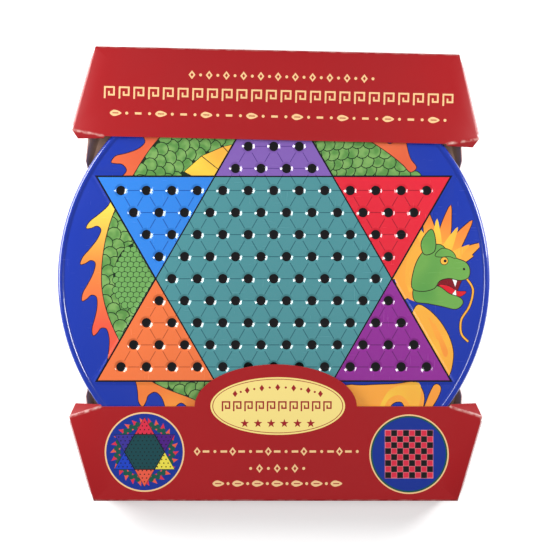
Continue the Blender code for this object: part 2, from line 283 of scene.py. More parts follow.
def dress(made, group, strength, distance, flat=False, **values):
    """Places a wear group in a material and joins its outputs to the shader.

    A flat ink keeps the colour set on the shader itself.
    """
    tree = made.node_tree
    shader = tree.nodes["Principled BSDF"]
    wear = node(tree, "ShaderNodeGroup", {"node_tree": group})
    for key, value in values.items():
        wear.inputs[key].default_value = value
    if not flat:
        tree.links.new(wear.outputs["Color"], shader.inputs["Base Color"])
    tree.links.new(wear.outputs["Roughness"], shader.inputs["Roughness"])
    bump = node(tree, "ShaderNodeBump", strength=strength, distance=distance)
    tree.links.new(wear.outputs["Height"], bump.inputs["Height"])
    tree.links.new(bump.outputs["Normal"], shader.inputs["Normal"])
    return made


CARD_RED = colour(158, 18, 24)
red_card = dress(
    material("red_card", CARD_RED, Coat_Weight=0.35, Coat_Roughness=0.22),
    board_wear_and_highlight,
    strength=0.25,
    distance=0.0006,
    Print=CARD_RED,
)
# The inside board's print colour is painted lighter than the real grey-brown kraft: painted light
# for the shaded gaps between the gussets and the tin.
raw_board_painted_light = dress(
    material("raw_board_painted_light", colour(150, 118, 100)),
    board_wear_and_highlight,
    strength=0.4,
    distance=0.0004,
    Print=colour(222, 184, 160),
    Core=colour(196, 168, 148),
)
cut_edge = dress(
    material("cut_edge", colour(190, 160, 145)),
    board_wear_and_highlight,
    strength=0.5,
    distance=0.0003,
    Print=colour(176, 140, 128),
    Core=colour(200, 178, 165),
)
card_inks = {"": red_card}


def end_point(end, x, y, z):
    """A place on the object, from its place beside one end fold."""
    return (end @ Vector((x, y, z)))[:]


def gusset_line(end, sign):
    """Where a gusset wall's outer face meets the table: beside the end wall, then past the tin."""
    first = end @ Vector((sign * (WALL_HALF - GUSSET_SETBACK), -GUSSET_FOLD_RADIUS, 0))
    reach = tin_radius + GUSSET_REACH
    across = 1 if first.x > 0 else -1
    along = math.copysign(GUSSET_END, first.y)
    return first, Vector((across * math.sqrt(reach**2 - GUSSET_END**2), along, 0))


def panel_corners(end, sign):
    """The back panel's edge at one corner: at the end fold, then along the gusset's fold."""
    first, last = gusset_line(end, sign)
    along = (last - first).normalized()
    inward = Vector((-along.y, along.x, 0))
    if inward.dot(first) > 0:
        inward = -inward
    inset = inward * GUSSET_FOLD_RADIUS
    fold = end @ Vector((sign * WALL_HALF, -FOLD_RADIUS, 0))
    return [fold.xy[:], (first + inset + along * CORNER_STEP).xy[:], (last + inset).xy[:]]


def waist_points(fold_end):
    """The cut-back edge between the ends of two gusset folds on one side."""
    side = math.copysign(WAIST, fold_end[0])
    dip = GUSSET_END - (abs(fold_end[0]) - WAIST)
    return [(side, dip), (side, -dip)]


top_right, top_left = panel_corners(TOP_END, 1), panel_corners(TOP_END, -1)
low_left, low_right = panel_corners(BOTTOM_END, 1), panel_corners(BOTTOM_END, -1)
panel_outline = [
    *top_right,
    *waist_points(top_right[2]),
    *reversed(low_right),
    *low_left,
    *reversed(waist_points(top_left[2])),
    *reversed(top_left),
]
back_panel = sheet(
    "back_panel",
    lay_out([(-x, y) for x, y in panel_outline]),
    lambda x, y: (-x, y, 0.0),
    card_inks,
    raw_board_painted_light,
    cut_edge,
    BOARD,
)
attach(back_panel, "carrier")
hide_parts("carrier_back_panel")

# Gusset walls
# Four slanted walls rise from the back panel beside the tin. They are the same board, scored
# and folded up, a little bowed, with the raw side towards the tin and their free corners cut.

GUSSET_BOW = 0.5
GUSSET_LEAN = 12.0  # how far the foot stands in under the tin at the wall end
GUSSET_FREE_LEAN = 2.2  # and at the free end
GUSSET_FREE_CUTS = ((0.3, 8.0), (5.0, 19.0))  # in from the free end, and up from the fold
GUSSET_TOP_CUT = 38.0
GUSSET_FOLD_STEPS = (0.6, 1.25)


def gusset(name, cad_name, end, sign):
    """One gusset wall, from beside its end wall to its free end beside the tin."""
    first, last = gusset_line(end, sign)
    along = (last - first).normalized()
    outward = Vector((along.y, -along.x, 0))
    if outward.dot(first) < 0:
        outward = -outward
    length = (last - first).length
    height = carrier_top - 2 * BOARD
    quarter = GUSSET_FOLD_RADIUS * math.pi / 2
    rise = height - GUSSET_FOLD_RADIUS + quarter

    def lift(x, u):
        """Folds the flat wall up: x runs along the fold and u away from the panel."""
        if u < quarter:
            angle = u / GUSSET_FOLD_RADIUS
            out = -GUSSET_FOLD_RADIUS + GUSSET_FOLD_RADIUS * math.sin(angle)
            z = GUSSET_FOLD_RADIUS * (1 - math.cos(angle))
        else:
            z = GUSSET_FOLD_RADIUS + u - quarter
            out = GUSSET_BOW * math.sin(math.pi * x / length) * (z / height) ** 2
        lean = GUSSET_LEAN + (GUSSET_FREE_LEAN - GUSSET_LEAN) * x / length
        foot = lean * (1 - z / height)
        return (first + along * x + outward * (out - foot) + Vector((0, 0, z)))[:]

    mirror = 1 if along.cross(Vector((0, 0, 1))).dot(outward) > 0 else -1
    free_edge = [(length - cut, u) for cut, u in GUSSET_FREE_CUTS]
    outline = [(0, 0), (length, 0), *free_edge, (length - GUSSET_TOP_CUT, rise), (0, rise)]
    rungs = [[(0, u), (length, u)] for u in (*GUSSET_FOLD_STEPS, quarter)]
    columns = [[(length * k / 10, quarter), (length * k / 10, rise)] for k in range(1, 9)]
    layout = lay_out(
        [(mirror * x, u) for x, u in outline],
        guides=[[(mirror * x, u) for x, u in line] for line in rungs + columns],
    )
    wall = sheet(
        name,
        layout,
        lambda x, u: lift(mirror * x, u),
        card_inks,
        raw_board_painted_light,
        cut_edge,
        BOARD,
        lambda x, u: 1.0 if 0 < u < quarter else 0.0,
    )
    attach(wall, "carrier")
    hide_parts(cad_name)


gusset("upper_right_gusset", "carrier_gusset_upper_right", TOP_END, 1)
gusset("upper_left_gusset", "carrier_gusset_upper_left", TOP_END, -1)
gusset("lower_left_gusset", "carrier_gusset_lower_left", BOTTOM_END, 1)
gusset("lower_right_gusset", "carrier_gusset_lower_right", BOTTOM_END, -1)

# Tin base
# A shallow pan drawn from 0.3 mm tinplate, printed and varnished outside, bare inside. Its face
# carries a checkerboard on blue; the wall steps in at a shoulder, where the lid seats.

SHEET = 0.3
FIELD = 152.06  # radius of the flat face inside the rim
TIN_SIDES = 192
BASE_STEP = 21.0  # one square of the checkerboard
base_low, base_high = (corner.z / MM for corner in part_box("tin_base"))
lid_low, lid_high = (corner.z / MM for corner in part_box("tin_lid"))

# Tin wear: handling smears in the varnish and fine scratches that cross in two directions.
tin_wear, tin_in, tin_out = new_group(
    "tin_wear",
    [("Gloss", "NodeSocketFloat", 0.16)],
    SURFACE_SOCKETS[1:],
)
smear = grain(tin_wear, 22.0, 4.0)
scratch = maths(
    tin_wear,
    "MAXIMUM",
    between(tin_wear, grain(tin_wear, 60.0, 2.0, (1.0, 14.0, 1.0)), 0.70, 0.76),
    between(tin_wear, grain(tin_wear, 60.0, 2.0, (12.0, 1.0, 1.0)), 0.71, 0.77),
)
handled = between(tin_wear, smear, 0.4, 0.75, 0.0, 0.12)
dull = maths(tin_wear, "ADD", tin_in.outputs["Gloss"], handled)
rough = maths(tin_wear, "ADD", dull, maths(tin_wear, "MULTIPLY", scratch, 0.2))
tin_wear.links.new(rough, tin_out.inputs["Roughness"])
scored = maths(tin_wear, "MULTIPLY", scratch, 0.35)
relief = maths(tin_wear, "SUBTRACT", maths(tin_wear, "MULTIPLY", smear, 0.5), scored)
tin_wear.links.new(relief, tin_out.inputs["Height"])


def tin_ink(name, base):
    """A flat printing ink on tinplate, under clear varnish."""
    ink = material(name, base, Coat_Weight=1.0, Coat_Roughness=0.05)
    return dress(ink, tin_wear, strength=0.12, distance=0.0003, flat=True)


FIELD_BLUE = colour(22, 50, 156)
tin_inks = {
    "": tin_ink("field_blue", FIELD_BLUE),
    "black": tin_ink("ink_black", colour(12, 12, 20)),
    "red": tin_ink("ink_red", colour(205, 26, 40)),
    "cream": tin_ink("ink_cream", colour(238, 214, 130)),
    "green": tin_ink("ink_green", colour(82, 138, 62)),
    "pink": tin_ink("ink_pink", colour(226, 160, 150)),
}
bare_tin = dress(
    material("bare_tinplate", colour(196, 198, 196), Metallic=1.0),
    tin_wear,
    strength=0.2,
    distance=0.0003,
    flat=True,
    Gloss=0.28,
)


def circle(x, y, radius, sides=32):
    """A round outline, or one of few sides with its first corner to the right."""
    turns = [math.tau * k / sides for k in range(sides)]
    return [(x + radius * math.cos(a), y + radius * math.sin(a)) for a in turns]


def box_outline(x, y, half_x, half_y):
    """A rectangle about a centre."""
    corners = ((-1, -1), (1, -1), (1, 1), (-1, 1))
    return [(x + side * half_x, y + rise * half_y) for side, rise in corners]


def pressed_tin(name, layout, lift, rim, finishes, facing):
    """A printed disc joined to a turned rim, with bare metal inside.

    The rim is (radius, height) pairs from the disc's edge outwards. Facing is 1 where the
    print looks up and -1 where it looks down.
    """
    points, triangles, inks = layout
    bm = bmesh.new()
    verts = [bm.verts.new(Vector(lift(x, y)) * MM) for x, y in points]
    order = sorted(set(inks))
    for triangle, ink in zip(triangles, inks):
        face = bm.faces.new([verts[i] for i in triangle])
        face.material_index = 1 + order.index(ink)
    rings = []
    for radius, z in rim:
        ring = [
            bm.verts.new(Vector((radius * math.cos(a), radius * math.sin(a), z)) * MM)
            for a in (math.tau * k / TIN_SIDES for k in range(TIN_SIDES))
        ]
        rings.append(ring)
    for inner, outer in zip(rings, rings[1:]):
        for k in range(TIN_SIDES):
            after = (k + 1) % TIN_SIDES
            quad = [inner[k], outer[k], outer[after], inner[after]]
            face = bm.faces.new(quad if facing > 0 else quad[::-1])
            face.material_index = 1 + order.index("")
    bmesh.ops.remove_doubles(bm, verts=bm.verts, dist=2e-6)
    mesh = bpy.data.meshes.new(name)
    bm.to_mesh(mesh)
    bm.free()
    for finish in (bare_tin, *[finishes[ink] for ink in order], bare_tin):
        mesh.materials.append(finish)
    shell = shown(name, mesh)
    skin = shell.modifiers.new("thickness", "SOLIDIFY")
    skin.thickness = SHEET * MM
    skin.offset = -1.0
    skin.material_offset = len(order) + 1
    skin.material_offset_rim = -len(order) - 1
    return finished(shell, 50)


def board_squares(x, y, step, inset=0.0):
    """An eight by eight checkerboard: black squares, and red ones a little smaller."""
    shapes = []
    for row in range(8):
        for column in range(8):
            centre_x = x + (column - 3.5) * step
            centre_y = y + (row - 3.5) * step
            dark = (row + column) % 2 == 0
            half = step / 2 if dark else step / 2 - inset
            square = box_outline(centre_x, centre_y, half, half)
            shapes.append(("black" if dark else "red", square))
    return shapes


BOARD_HALF = 4 * BASE_STEP + 1.2
base_print = [
    ("green", circle(0, 0, 148.0, 96)),
    ("", circle(0, 0, 143.5, 96)),
    ("cream", circle(0, 0, 139.5, 96)),
    ("", circle(0, 0, 137.5, 96)),
    ("pink", box_outline(0, 0, BOARD_HALF, BOARD_HALF)),
    *board_squares(0, 0, BASE_STEP, 0.8),
]
floor_under = base_low + 1.2
seat = lid_low - 0.4
base_rim = [
    (FIELD, floor_under),
    (FIELD + 0.6, floor_under - 0.15),
    (FIELD + 1.5, base_low + 0.35),
    (FIELD + 2.6, base_low + 0.05),
    (FIELD + 3.8, base_low),
    (FIELD + 5.0, base_low + 0.25),
    (FIELD + 6.1, base_low + 0.95),
    (FIELD + 6.8, base_low + 2.1),
    (tin_radius, base_low + 3.4),
    (tin_radius, seat - 1.9),
    (tin_radius - 0.35, seat - 1.0),
    (tin_radius - 1.2, seat - 0.35),
    (tin_radius - 1.7, seat),
    (tin_radius - 1.72, base_high),
]
base_shell = pressed_tin(
    "base_shell",
    lay_out(circle(0, 0, FIELD, TIN_SIDES), base_print),
    lambda x, y: (-x, y, floor_under),
    base_rim,
    tin_inks,
    -1,
)
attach(base_shell, "tin")
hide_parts("tin_base")

# Rules sheet
# One leaf of uncoated paper, folded flat, that lies on the tin's floor beside the checkers.
# Grey ruled lines stand for its text, above a small star.

PAPER_LEAF = 0.12
PAPER = colour(238, 232, 216)
GREY_INK = colour(120, 118, 116)
rules_low, rules_high = (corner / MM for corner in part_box("rules_sheet"))

# Paper tone: the sheet yellows unevenly and its surface is a fine felt.
paper_tone, paper_in, paper_out = new_group(
    "paper_tone", [("Print", "NodeSocketColor", PAPER)], SURFACE_SOCKETS
)
paper_cloud = grain(paper_tone, 30.0, 4.0)
yellowed = between(paper_tone, paper_cloud, 0.3, 0.8, 0.0, 0.3)
toned = blended(paper_tone, yellowed, paper_in.outputs["Print"], colour(214, 204, 180))
paper_tone.links.new(toned, paper_out.inputs["Color"])
felt = between(paper_tone, paper_cloud, 0.2, 0.8, 0.7, 0.9)
paper_tone.links.new(felt, paper_out.inputs["Roughness"])
paper_tone.links.new(grain(paper_tone, 700.0), paper_out.inputs["Height"])
paper, grey_print = (
    dress(material(name, tone), paper_tone, 0.3, 0.0002, Print=tone)
    for name, tone in (("rules_paper", PAPER), ("rules_grey", GREY_INK))
)
paper_inks = {"": paper, "grey": grey_print}


def star_points(x, y, tip, notch):
    """A six-pointed star with one tip up."""
    points = []
    for step in range(12):
        radius = tip if step % 2 == 0 else notch
        angle = math.radians(90 + 30 * step)
        points.append((x + radius * math.cos(angle), y + radius * math.sin(angle)))
    return points


page_width = rules_high.x - rules_low.x
page_depth = rules_high.y - rules_low.y
rules_print = [("grey", box_outline(-page_width / 4, page_depth * 0.40, page_width * 0.18, 1.6))]
LINE_STEP = 5.2
LONG_LINE, SHORT_LINE = 0.20, 0.14  # half lengths, as shares of the page's width
for row in range(13):
    share = LONG_LINE if row % 5 else SHORT_LINE
    for side in (-1, 1):
        if side < 0 or row < 7:
            x = side * page_width / 4 - (LONG_LINE - share) * page_width
            y = page_depth * 0.30 - LINE_STEP * row
            rules_print.append(("grey", box_outline(x, y, page_width * share, 0.45)))
star_x, star_y = page_width / 4, -page_depth * 0.28
rules_print.append(("grey", star_points(star_x, star_y, 17.0, 9.8)))
rules_print.append(("", star_points(star_x, star_y, 16.0, 9.2)))
for row in range(-2, 3):
    for column in range(-2, 3):
        if abs(column + row) < 3:
            x, y = star_x + 3.2 * (column + row / 2), star_y + 2.8 * row
            rules_print.append(("grey", circle(x, y, 0.7, 8)))
page_middle = (rules_low.y + rules_high.y) / 2
rules_leaf = sheet(
    "rules_leaf",
    lay_out(box_outline(0, 0, page_width / 2, page_depth / 2), rules_print),
    lambda x, y: (x, y + page_middle, rules_high.z - 0.02),
    paper_inks,
    paper,
    paper,
    PAPER_LEAF,
)
under_leaf = sheet(
    "rules_leaf_under",
    lay_out(box_outline(0, 0, page_width / 2 - 0.6, page_depth / 2 - 0.4)),
    lambda x, y: (x + 0.3, y + page_middle, rules_low.z + 0.3),
    paper_inks,
    paper,
    paper,
    2 * PAPER_LEAF,
)
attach(rules_leaf, "tin")
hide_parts("rules_sheet")
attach(under_leaf, "tin")

# Checkers
# Twelve red and twelve black checkers, moulded in gloss plastic, in stacks of three. Each has a
# milled edge, a raised rim and a ring of raised dots, so that they stack and grip.

CHECKER_SIDES = 48
MILLING = 0.35
GRIP_DOTS = 12
GRIP_RING = 7.9
GRIP_DOT = 1.0

# Plastic wear: flow marks from the mould and a little dust.
plastic_wear, plastic_in, plastic_out = new_group(
    "plastic_wear", [("Tint", "NodeSocketColor", (0.5, 0.5, 0.5, 1.0))], SURFACE_SOCKETS
)
flow = grain(plastic_wear, 45.0, 4.0)
dust = between(plastic_wear, grain(plastic_wear, 420.0, 6.0), 0.60, 0.72)
film = maths(plastic_wear, "MULTIPLY", dust, 0.12)
dusty = blended(plastic_wear, film, plastic_in.outputs["Tint"], colour(190, 186, 180))
plastic_wear.links.new(dusty, plastic_out.inputs["Color"])
gloss = between(plastic_wear, flow, 0.2, 0.8, 0.18, 0.38)
plastic_wear.links.new(gloss, plastic_out.inputs["Roughness"])
plastic_wear.links.new(flow, plastic_out.inputs["Height"])


def plastic(name, tint):
    """Gloss plastic, dyed through."""
    return dress(material(name, tint), plastic_wear, 0.12, 0.0004, Tint=tint)


def moulded_checker(name, finish, radius, height):
    """A turned disc with a milled edge: the profile runs from the middle of the top outwards."""
    half = height / 2
    profile = [
        (0.0, half - 1.0),
        (3.6, half - 1.0),
        (4.1, half - 0.5),
        (5.0, half - 0.5),
        (5.5, half - 1.0),
        (10.2, half - 1.0),
        (10.9, half - 0.15),
        (11.6, half),
        (radius - 1.2, half),
        (radius - 0.4, half - 0.3),
        (radius, half - 1.0),
    ]
    profile += [(r, -z) for r, z in reversed(profile)]
    bm = bmesh.new()
    rings = []
    for r, z in profile:
        ring = []
        for k in range(CHECKER_SIDES if r else 1):
            milled = MILLING if r >= radius and k % 2 else 0.0
            angle = math.tau * k / CHECKER_SIDES
            out = Vector((math.cos(angle), math.sin(angle))) * (r - milled)
            ring.append(bm.verts.new(Vector((*out, z)) * MM))
        rings.append(ring)
    for upper, lower in zip(rings, rings[1:]):
        for k in range(CHECKER_SIDES):
            around = ((upper, k), (lower, k), (lower, k + 1), (upper, k + 1))
            corners = [ring[j % len(ring)] for ring, j in around]
            bm.faces.new(list(dict.fromkeys(corners)))
    flatten = Matrix.Diagonal((1.0, 1.0, 0.45, 1.0))
    for face_side in (1, -1):
        for x, y in circle(0, 0, GRIP_RING, GRIP_DOTS):
            where = Matrix.Translation(Vector((x, y, face_side * (half - 0.9))) * MM)
            bmesh.ops.create_icosphere(
                bm, subdivisions=1, radius=GRIP_DOT * MM, matrix=where @ flatten
            )
    bmesh.ops.recalc_face_normals(bm, faces=bm.faces)
    mesh = bpy.data.meshes.new(name)
    bm.to_mesh(mesh)
    bm.free()
    mesh.materials.append(finish)
    mesh.shade_smooth()
    mesh.set_sharp_from_angle(angle=math.radians(40))
    return mesh


checker_low, checker_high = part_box("checker_red_01")
checker_size = (checker_high - checker_low) / MM
for tone, tint in (("red", colour(176, 16, 22)), ("black", colour(22, 22, 24))):
    finish = plastic(f"checker_{tone}_plastic", tint)
    moulded = moulded_checker(f"{tone}_checker", finish, checker_size.x / 2, checker_size.z)
    for count in range(1, 13):
        cad_name = f"checker_{tone}_{count:02d}"
        low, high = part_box(cad_name)
        piece = shown(f"{tone}_checker_{count:02d}", moulded)
        piece.location = (low + high) / 2
        piece.rotation_euler = (0, 0, 0.7 * count)
        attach(piece, "tin")
        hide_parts(cad_name)

# Balls and their net bag
# Sixty 14 mm playing balls in six colours, moulded in plastic with a faint seam, in one close
# layer. A knotless net of thin plastic strands is drawn round them.

BALL = 7.0  # radius at the seam
BALL_BODY = 0.985  # the rest of the ball, as a share of that
SEAM_REACH = 1.2
BALL_COLUMNS = 10
BALL_ROWS = 6
STRAND = 0.22
NET_STEP = 7.5
NET_SEGMENT = 4.0
BORDER_POINTS = 96
CORNER_ROUND = 0.5976
bag_low, bag_high = (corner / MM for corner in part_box("ball_bag"))
bag_centre = (bag_low + bag_high) / 2


def moulded_ball(bm, centre, turn):
    """One ball with a fine ridge round it where the mould's halves met."""
    made = bmesh.ops.create_uvsphere(bm, u_segments=20, v_segments=13, radius=BALL * MM * BALL_BODY)
    for vert in made["verts"]:
        if abs(vert.co.z) < SEAM_REACH * MM:
            vert.co.z *= 0.25
            vert.co.xy = vert.co.xy.normalized() * BALL * MM
    bmesh.ops.transform(bm, matrix=Matrix.Translation(centre * MM) @ turn, verts=made["verts"])


ball_tints = {
    "red": colour(196, 20, 30),
    "yellow": colour(240, 190, 20),
    "green": colour(20, 130, 60),
    "blue": colour(24, 70, 190),
    "white": colour(232, 232, 228),
    "black": colour(22, 22, 26),
}
draw = random.Random(7)
order = [tone for tone in ball_tints for _ in range(BALL_COLUMNS)]
draw.shuffle(order)
balls = {tone: bmesh.new() for tone in ball_tints}
for index, tone in enumerate(order):
    column, row = index % BALL_COLUMNS, index // BALL_COLUMNS
    shift = BALL / 2 if row % 2 else -BALL / 2
    x = bag_centre.x + (column - (BALL_COLUMNS - 1) / 2) * 2 * BALL + shift
    y = bag_centre.y + (row - (BALL_ROWS - 1) / 2) * BALL * math.sqrt(3)
    centre = Vector((x, y, bag_centre.z))
    turn = Matrix.Rotation(draw.uniform(0, 3), 4, "X") @ Matrix.Rotation(draw.uniform(0, 3), 4, "Y")
    moulded_ball(balls[tone], centre, turn)
for tone, bm in balls.items():
    mesh = bpy.data.meshes.new(f"balls_{tone}")
    bm.to_mesh(mesh)
    bm.free()
    mesh.materials.append(plastic(f"ball_{tone}_plastic", ball_tints[tone]))
    mesh.shade_smooth()
    group_of_balls = shown(f"balls_{tone}", mesh)
    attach(group_of_balls, "tin")


def net_point(u, v, side, half, centre):
    """A point of the net, from its place across the bag, each from -1 to 1."""
    fullness = max(0.0, 1 - max(abs(u), abs(v)) ** 9) ** 0.5
    z = centre.z + side * half.z * fullness
    return Vector((centre.x + half.x * u, centre.y + half.y * v, z)) * MM


def net_bag(name, half, centre):
    """Two crossing sets of slanting strands, over the top and under the bottom."""
    curve = bpy.data.curves.new(name, "CURVE")
    curve.dimensions = "3D"
    curve.bevel_depth = STRAND * MM
    curve.bevel_resolution = 0
    reach = half.x + half.y
    count = int(reach / NET_STEP)
    for side in (-1, 1):
        for slope in (-1, 1):
            for k in range(-count, count + 1):
                offset = k * NET_STEP
                low = max(-half.x, offset - half.y)
                high = min(half.x, offset + half.y)
                if high - low < NET_SEGMENT / 2:
                    continue
                spline = curve.splines.new("POLY")
                steps = max(4, int((high - low) / NET_SEGMENT))
                spline.points.add(steps)
                for s in range(steps + 1):
                    x = low + (high - low) * s / steps
                    point = net_point(x / half.x, slope * (x - offset) / half.y, side, half, centre)
                    spline.points[s].co = (*point, 1.0)
    border = curve.splines.new("POLY")
    border.points.add(BORDER_POINTS - 1)
    border.use_cyclic_u = True
    for point, (x, y) in zip(border.points, circle(0, 0, 1.0, BORDER_POINTS)):
        spread = 0.985 / max(abs(x), abs(y), CORNER_ROUND * (abs(x) + abs(y)))
        place = Vector((centre.x + half.x * x * spread, centre.y + half.y * y * spread, centre.z))
        point.co = (*(place * MM), 1.0)
        point.radius = 2.0
    strands = shown(name, curve)
    graph = bpy.context.evaluated_depsgraph_get()
    mesh = bpy.data.meshes.new_from_object(strands.evaluated_get(graph))
    bpy.data.objects.remove(strands)
    mesh.materials.append(plastic(f"{name}_plastic", colour(226, 228, 222)))
    mesh.shade_smooth()
    return shown(name, mesh)


bag_half = (bag_high - bag_low) / 2 - Vector((STRAND,) * 3)
ball_net = net_bag("ball_net", bag_half, bag_centre)
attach(ball_net, "tin")
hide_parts("ball_bag")

# Tin lid
# Pressed from printed tinplate, with a dimple for each ball, a slightly raised star, a rounded
# rim bead and a short skirt. The star is flat inks with black lines. Behind it, on the blue
# field, run a scaled ring with a flame fringe and a plain creature's head.

PITCH = 18.6  # from dimple to dimple
ROW = PITCH * math.sqrt(3) / 2
ROWS_TO_EDGE = 4
STAR_LINE = ROWS_TO_EDGE * ROW + 10.2  # from the middle to each of the star's long sides
STAR_TIP = 2 * STAR_LINE
STAR_NOTCH = STAR_TIP / math.sqrt(3)
STAR_RISE = 0.6
SLOPE_WIDTH = 2.4  # of the slope round the raised star
OUTER_LINE = 0.75
INNER_LINE = 0.5
NET_LINE = 0.3
DIMPLE_RING = 5.2
DIMPLE_PROFILE = (  # distance from the dimple's middle, and depth
    (0.0, 1.52),
    (1.0, 1.49),
    (2.2, 1.34),
    (3.1, 1.08),
    (3.5, 0.88),
    (3.9, 0.64),
    (4.2, 0.46),
    (4.5, 0.25),
    (4.75, 0.07),
    (4.95, 0.01),
    (5.2, 0.0),
)
SPOT = 3.5
DIMPLE_SIDES = 22
star_top = lid_high - 0.6  # the rim bead stands this much higher


def hole_centres():
    """The star's 121 dimples, on a triangular grid."""
    centres = []
    for row in range(-2 * ROWS_TO_EDGE, 2 * ROWS_TO_EDGE + 1):
        for column in range(-2 * ROWS_TO_EDGE, 2 * ROWS_TO_EDGE + 1):
            spread = (column, row, -row - column)
            if max(spread) <= ROWS_TO_EDGE or min(spread) >= -ROWS_TO_EDGE:
                centres.append((PITCH * (column + row / 2), ROW * row))
    return centres


def across(x, y, degrees):
    """How far a point lies from the middle, in one direction."""
    return x * math.cos(math.radians(degrees)) + y * math.sin(math.radians(degrees))


def outside_star(x, y):
    """How far a point is outside the star, in millimetres; negative inside it."""
    up = max(across(x, y, degrees) for degrees in (30, 150, 270))
    down = max(across(x, y, degrees) for degrees in (90, 210, 330))
    return min(up, down) - STAR_LINE


def smooth_step(value):
    """Eases from 0 to 1."""
    value = min(1.0, max(0.0, value))
    return value * value * (3 - 2 * value)


holes = hole_centres()
hole_grid = {(round(2 * x / PITCH), round(y / ROW)): (x, y) for x, y in holes}


def to_nearest_hole(x, y):
    """The distance to the nearest dimple's middle."""
    best = PITCH
    for row in (-1, 0, 1):
        for column in (-2, -1, 0, 1, 2):
            found = hole_grid.get((round(2 * x / PITCH) + column, round(y / ROW) + row))
            if found:
                best = min(best, math.dist((x, y), found))
    return best


def lid_height(x, y):
    """Lifts a point of the flat print onto the pressed face."""
    z = star_top - STAR_RISE * smooth_step((outside_star(x, y) - OUTER_LINE) / SLOPE_WIDTH)
    reach = to_nearest_hole(x, y)
    for (inner, inner_drop), (outer, outer_drop) in zip(DIMPLE_PROFILE, DIMPLE_PROFILE[1:]):
        if inner <= reach < outer:
            z -= inner_drop + (outer_drop - inner_drop) * (reach - inner) / (outer - inner)
    return (x, y, z)


def clipped(outline, normal, limit):
    """The part of an outline on the near side of a line."""
    kept = []
    for a, b in zip(outline, outline[1:] + outline[:1]):
        da = a[0] * normal[0] + a[1] * normal[1] - limit
        db = b[0] * normal[0] + b[1] * normal[1] - limit
        if da <= 0:
            kept.append(a)
        if (da < 0 < db) or (db < 0 < da):
            t = da / (da - db)
            kept.append((a[0] + t * (b[0] - a[0]), a[1] + t * (b[1] - a[1])))
    return kept


ART_UNDER_STAR = 3.0


def polar(radius, degrees, x=0.0, y=0.0):
    """The point at a distance and direction from a centre."""
    turn = math.radians(degrees)
    return (x + radius * math.cos(turn), y + radius * math.sin(turn))


def in_notch(notch, outline):
    """An outline cut to one notch of the star, reaching a little under the star's edge."""
    for slant in (150, -150):
        outline = clipped(outline, polar(1.0, notch + slant), ART_UNDER_STAR - STAR_LINE)
    return outline


def eased(ends, steps):
    """Points of a smooth line between the second and third of four."""
    p0, p1, p2, p3 = (Vector(point) for point in ends)
    square = 2 * p0 - 5 * p1 + 4 * p2 - p3
    cube = 3 * p1 - p0 - 3 * p2 + p3
    shares = [s / steps for s in range(steps)]
    return [
        tuple(0.5 * (2 * p1 + (p2 - p0) * t + square * t**2 + cube * t**3)) for t in shares
    ]


def curved(points, steps=4):
    """A closed smooth line through the points."""
    count = len(points)
    made = []
    for k in range(count):
        made += eased([points[(k + j) % count] for j in (-1, 0, 1, 2)], steps)
    return made


def open_curve(points, steps=6):
    """An open smooth line through the points."""
    ends = [points[0], *points, points[-1]]
    made = []
    for four in zip(ends, ends[1:], ends[2:], ends[3:]):
        made += eased(four, steps)
    return made + [tuple(points[-1])]


def grown(outline, width):
    """The outline moved out by a width, along its own normals."""
    outline = wound(outline)
    moved = []
    for a, b, c in zip(outline[-1:] + outline[:-1], outline, outline[1:] + outline[:1]):
        along = Vector((c[0] - a[0], c[1] - a[1]))
        along = along.normalized() if along.length > 1e-6 else Vector((1, 0))
        moved.append((b[0] + along.y * width, b[1] - along.x * width))
    return moved


def stroke(line, width):
    """A band of even width along an open line, with mitred corners."""
    left, right = [], []
    for k, point in enumerate(line):
        here = Vector(point)
        before = Vector(line[max(k - 1, 0)])
        after = Vector(line[min(k + 1, len(line) - 1)])
        first = (here - before).normalized() if k else (after - here).normalized()
        last = (after - here).normalized() if k < len(line) - 1 else first
        normal = Vector((-first.y - last.y, first.x + last.x)).normalized()
        reach = width / 2 / max(0.4, normal.dot(Vector((-first.y, first.x))))
        left.append(tuple(here + normal * reach))
        right.append(tuple(here - normal * reach))
    return left + right[::-1]


RING_RADII = (108, 112, 107, 116, 119, 111.3, 110.7, 105.3, 90, 88, 98, 104)  # every 30 degrees
RING_HALF = 16.0
SCALE_STEP = 8.6
FRINGE_REACH = 146.0  # the flames stop short of the rim
FRINGE_STEP = 10.5  # degrees
BELLY_STEP = 9.5  # degrees
BELLY_WIDTH = 18.0
FLAME_TONGUE = (  # share of a step, and height over the ring
    (0.0, 5.0),
    (0.30, 6.5),
    (0.62, 12.0),
    (0.86, 17.5),
    (1.06, 19.5),
    (1.02, 15.0),
    (0.92, 10.0),
)
FAN_TONGUE = ((0.0, 0.0), (0.3, 0.35), (0.62, 1.0), (0.8, 0.45))


def ring_radius(degrees):
    """The scaled ring's centre line: it wanders a little as it goes round."""
    place = (degrees % 360) / 30
    low = int(place)
    share = smooth_step(place - low)
    return RING_RADII[low % 12] * (1 - share) + RING_RADII[(low + 1) % 12] * share


def along_ring(start, end, out):
    """Seventeen points that follow the ring at a distance from its centre line."""
    angles = [start + (end - start) * k / 16 for k in range(17)]
    return [polar(ring_radius(angle) + out, angle) for angle in angles]


def fringe(start, end, tall=1.0):
    """Flame tongues on the ring's outer side, all leaning one way."""
    count = max(1, round((end - start) / FRINGE_STEP))
    outer = []
    for k in range(count):
        for share, height in FLAME_TONGUE:
            angle = start + (k + share) * (end - start) / count
            reach = ring_radius(angle) + RING_HALF + height * tall
            outer.append(polar(min(FRINGE_REACH, reach), angle))
    return curved(outer + along_ring(end, start, RING_HALF - 0.5))


def body(start, end, low=-RING_HALF):
    """The dark ground that the scales lie on."""
    inner = along_ring(start, end, low)
    return [("scale_edge", along_ring(start, end, RING_HALF) + inner[::-1])]


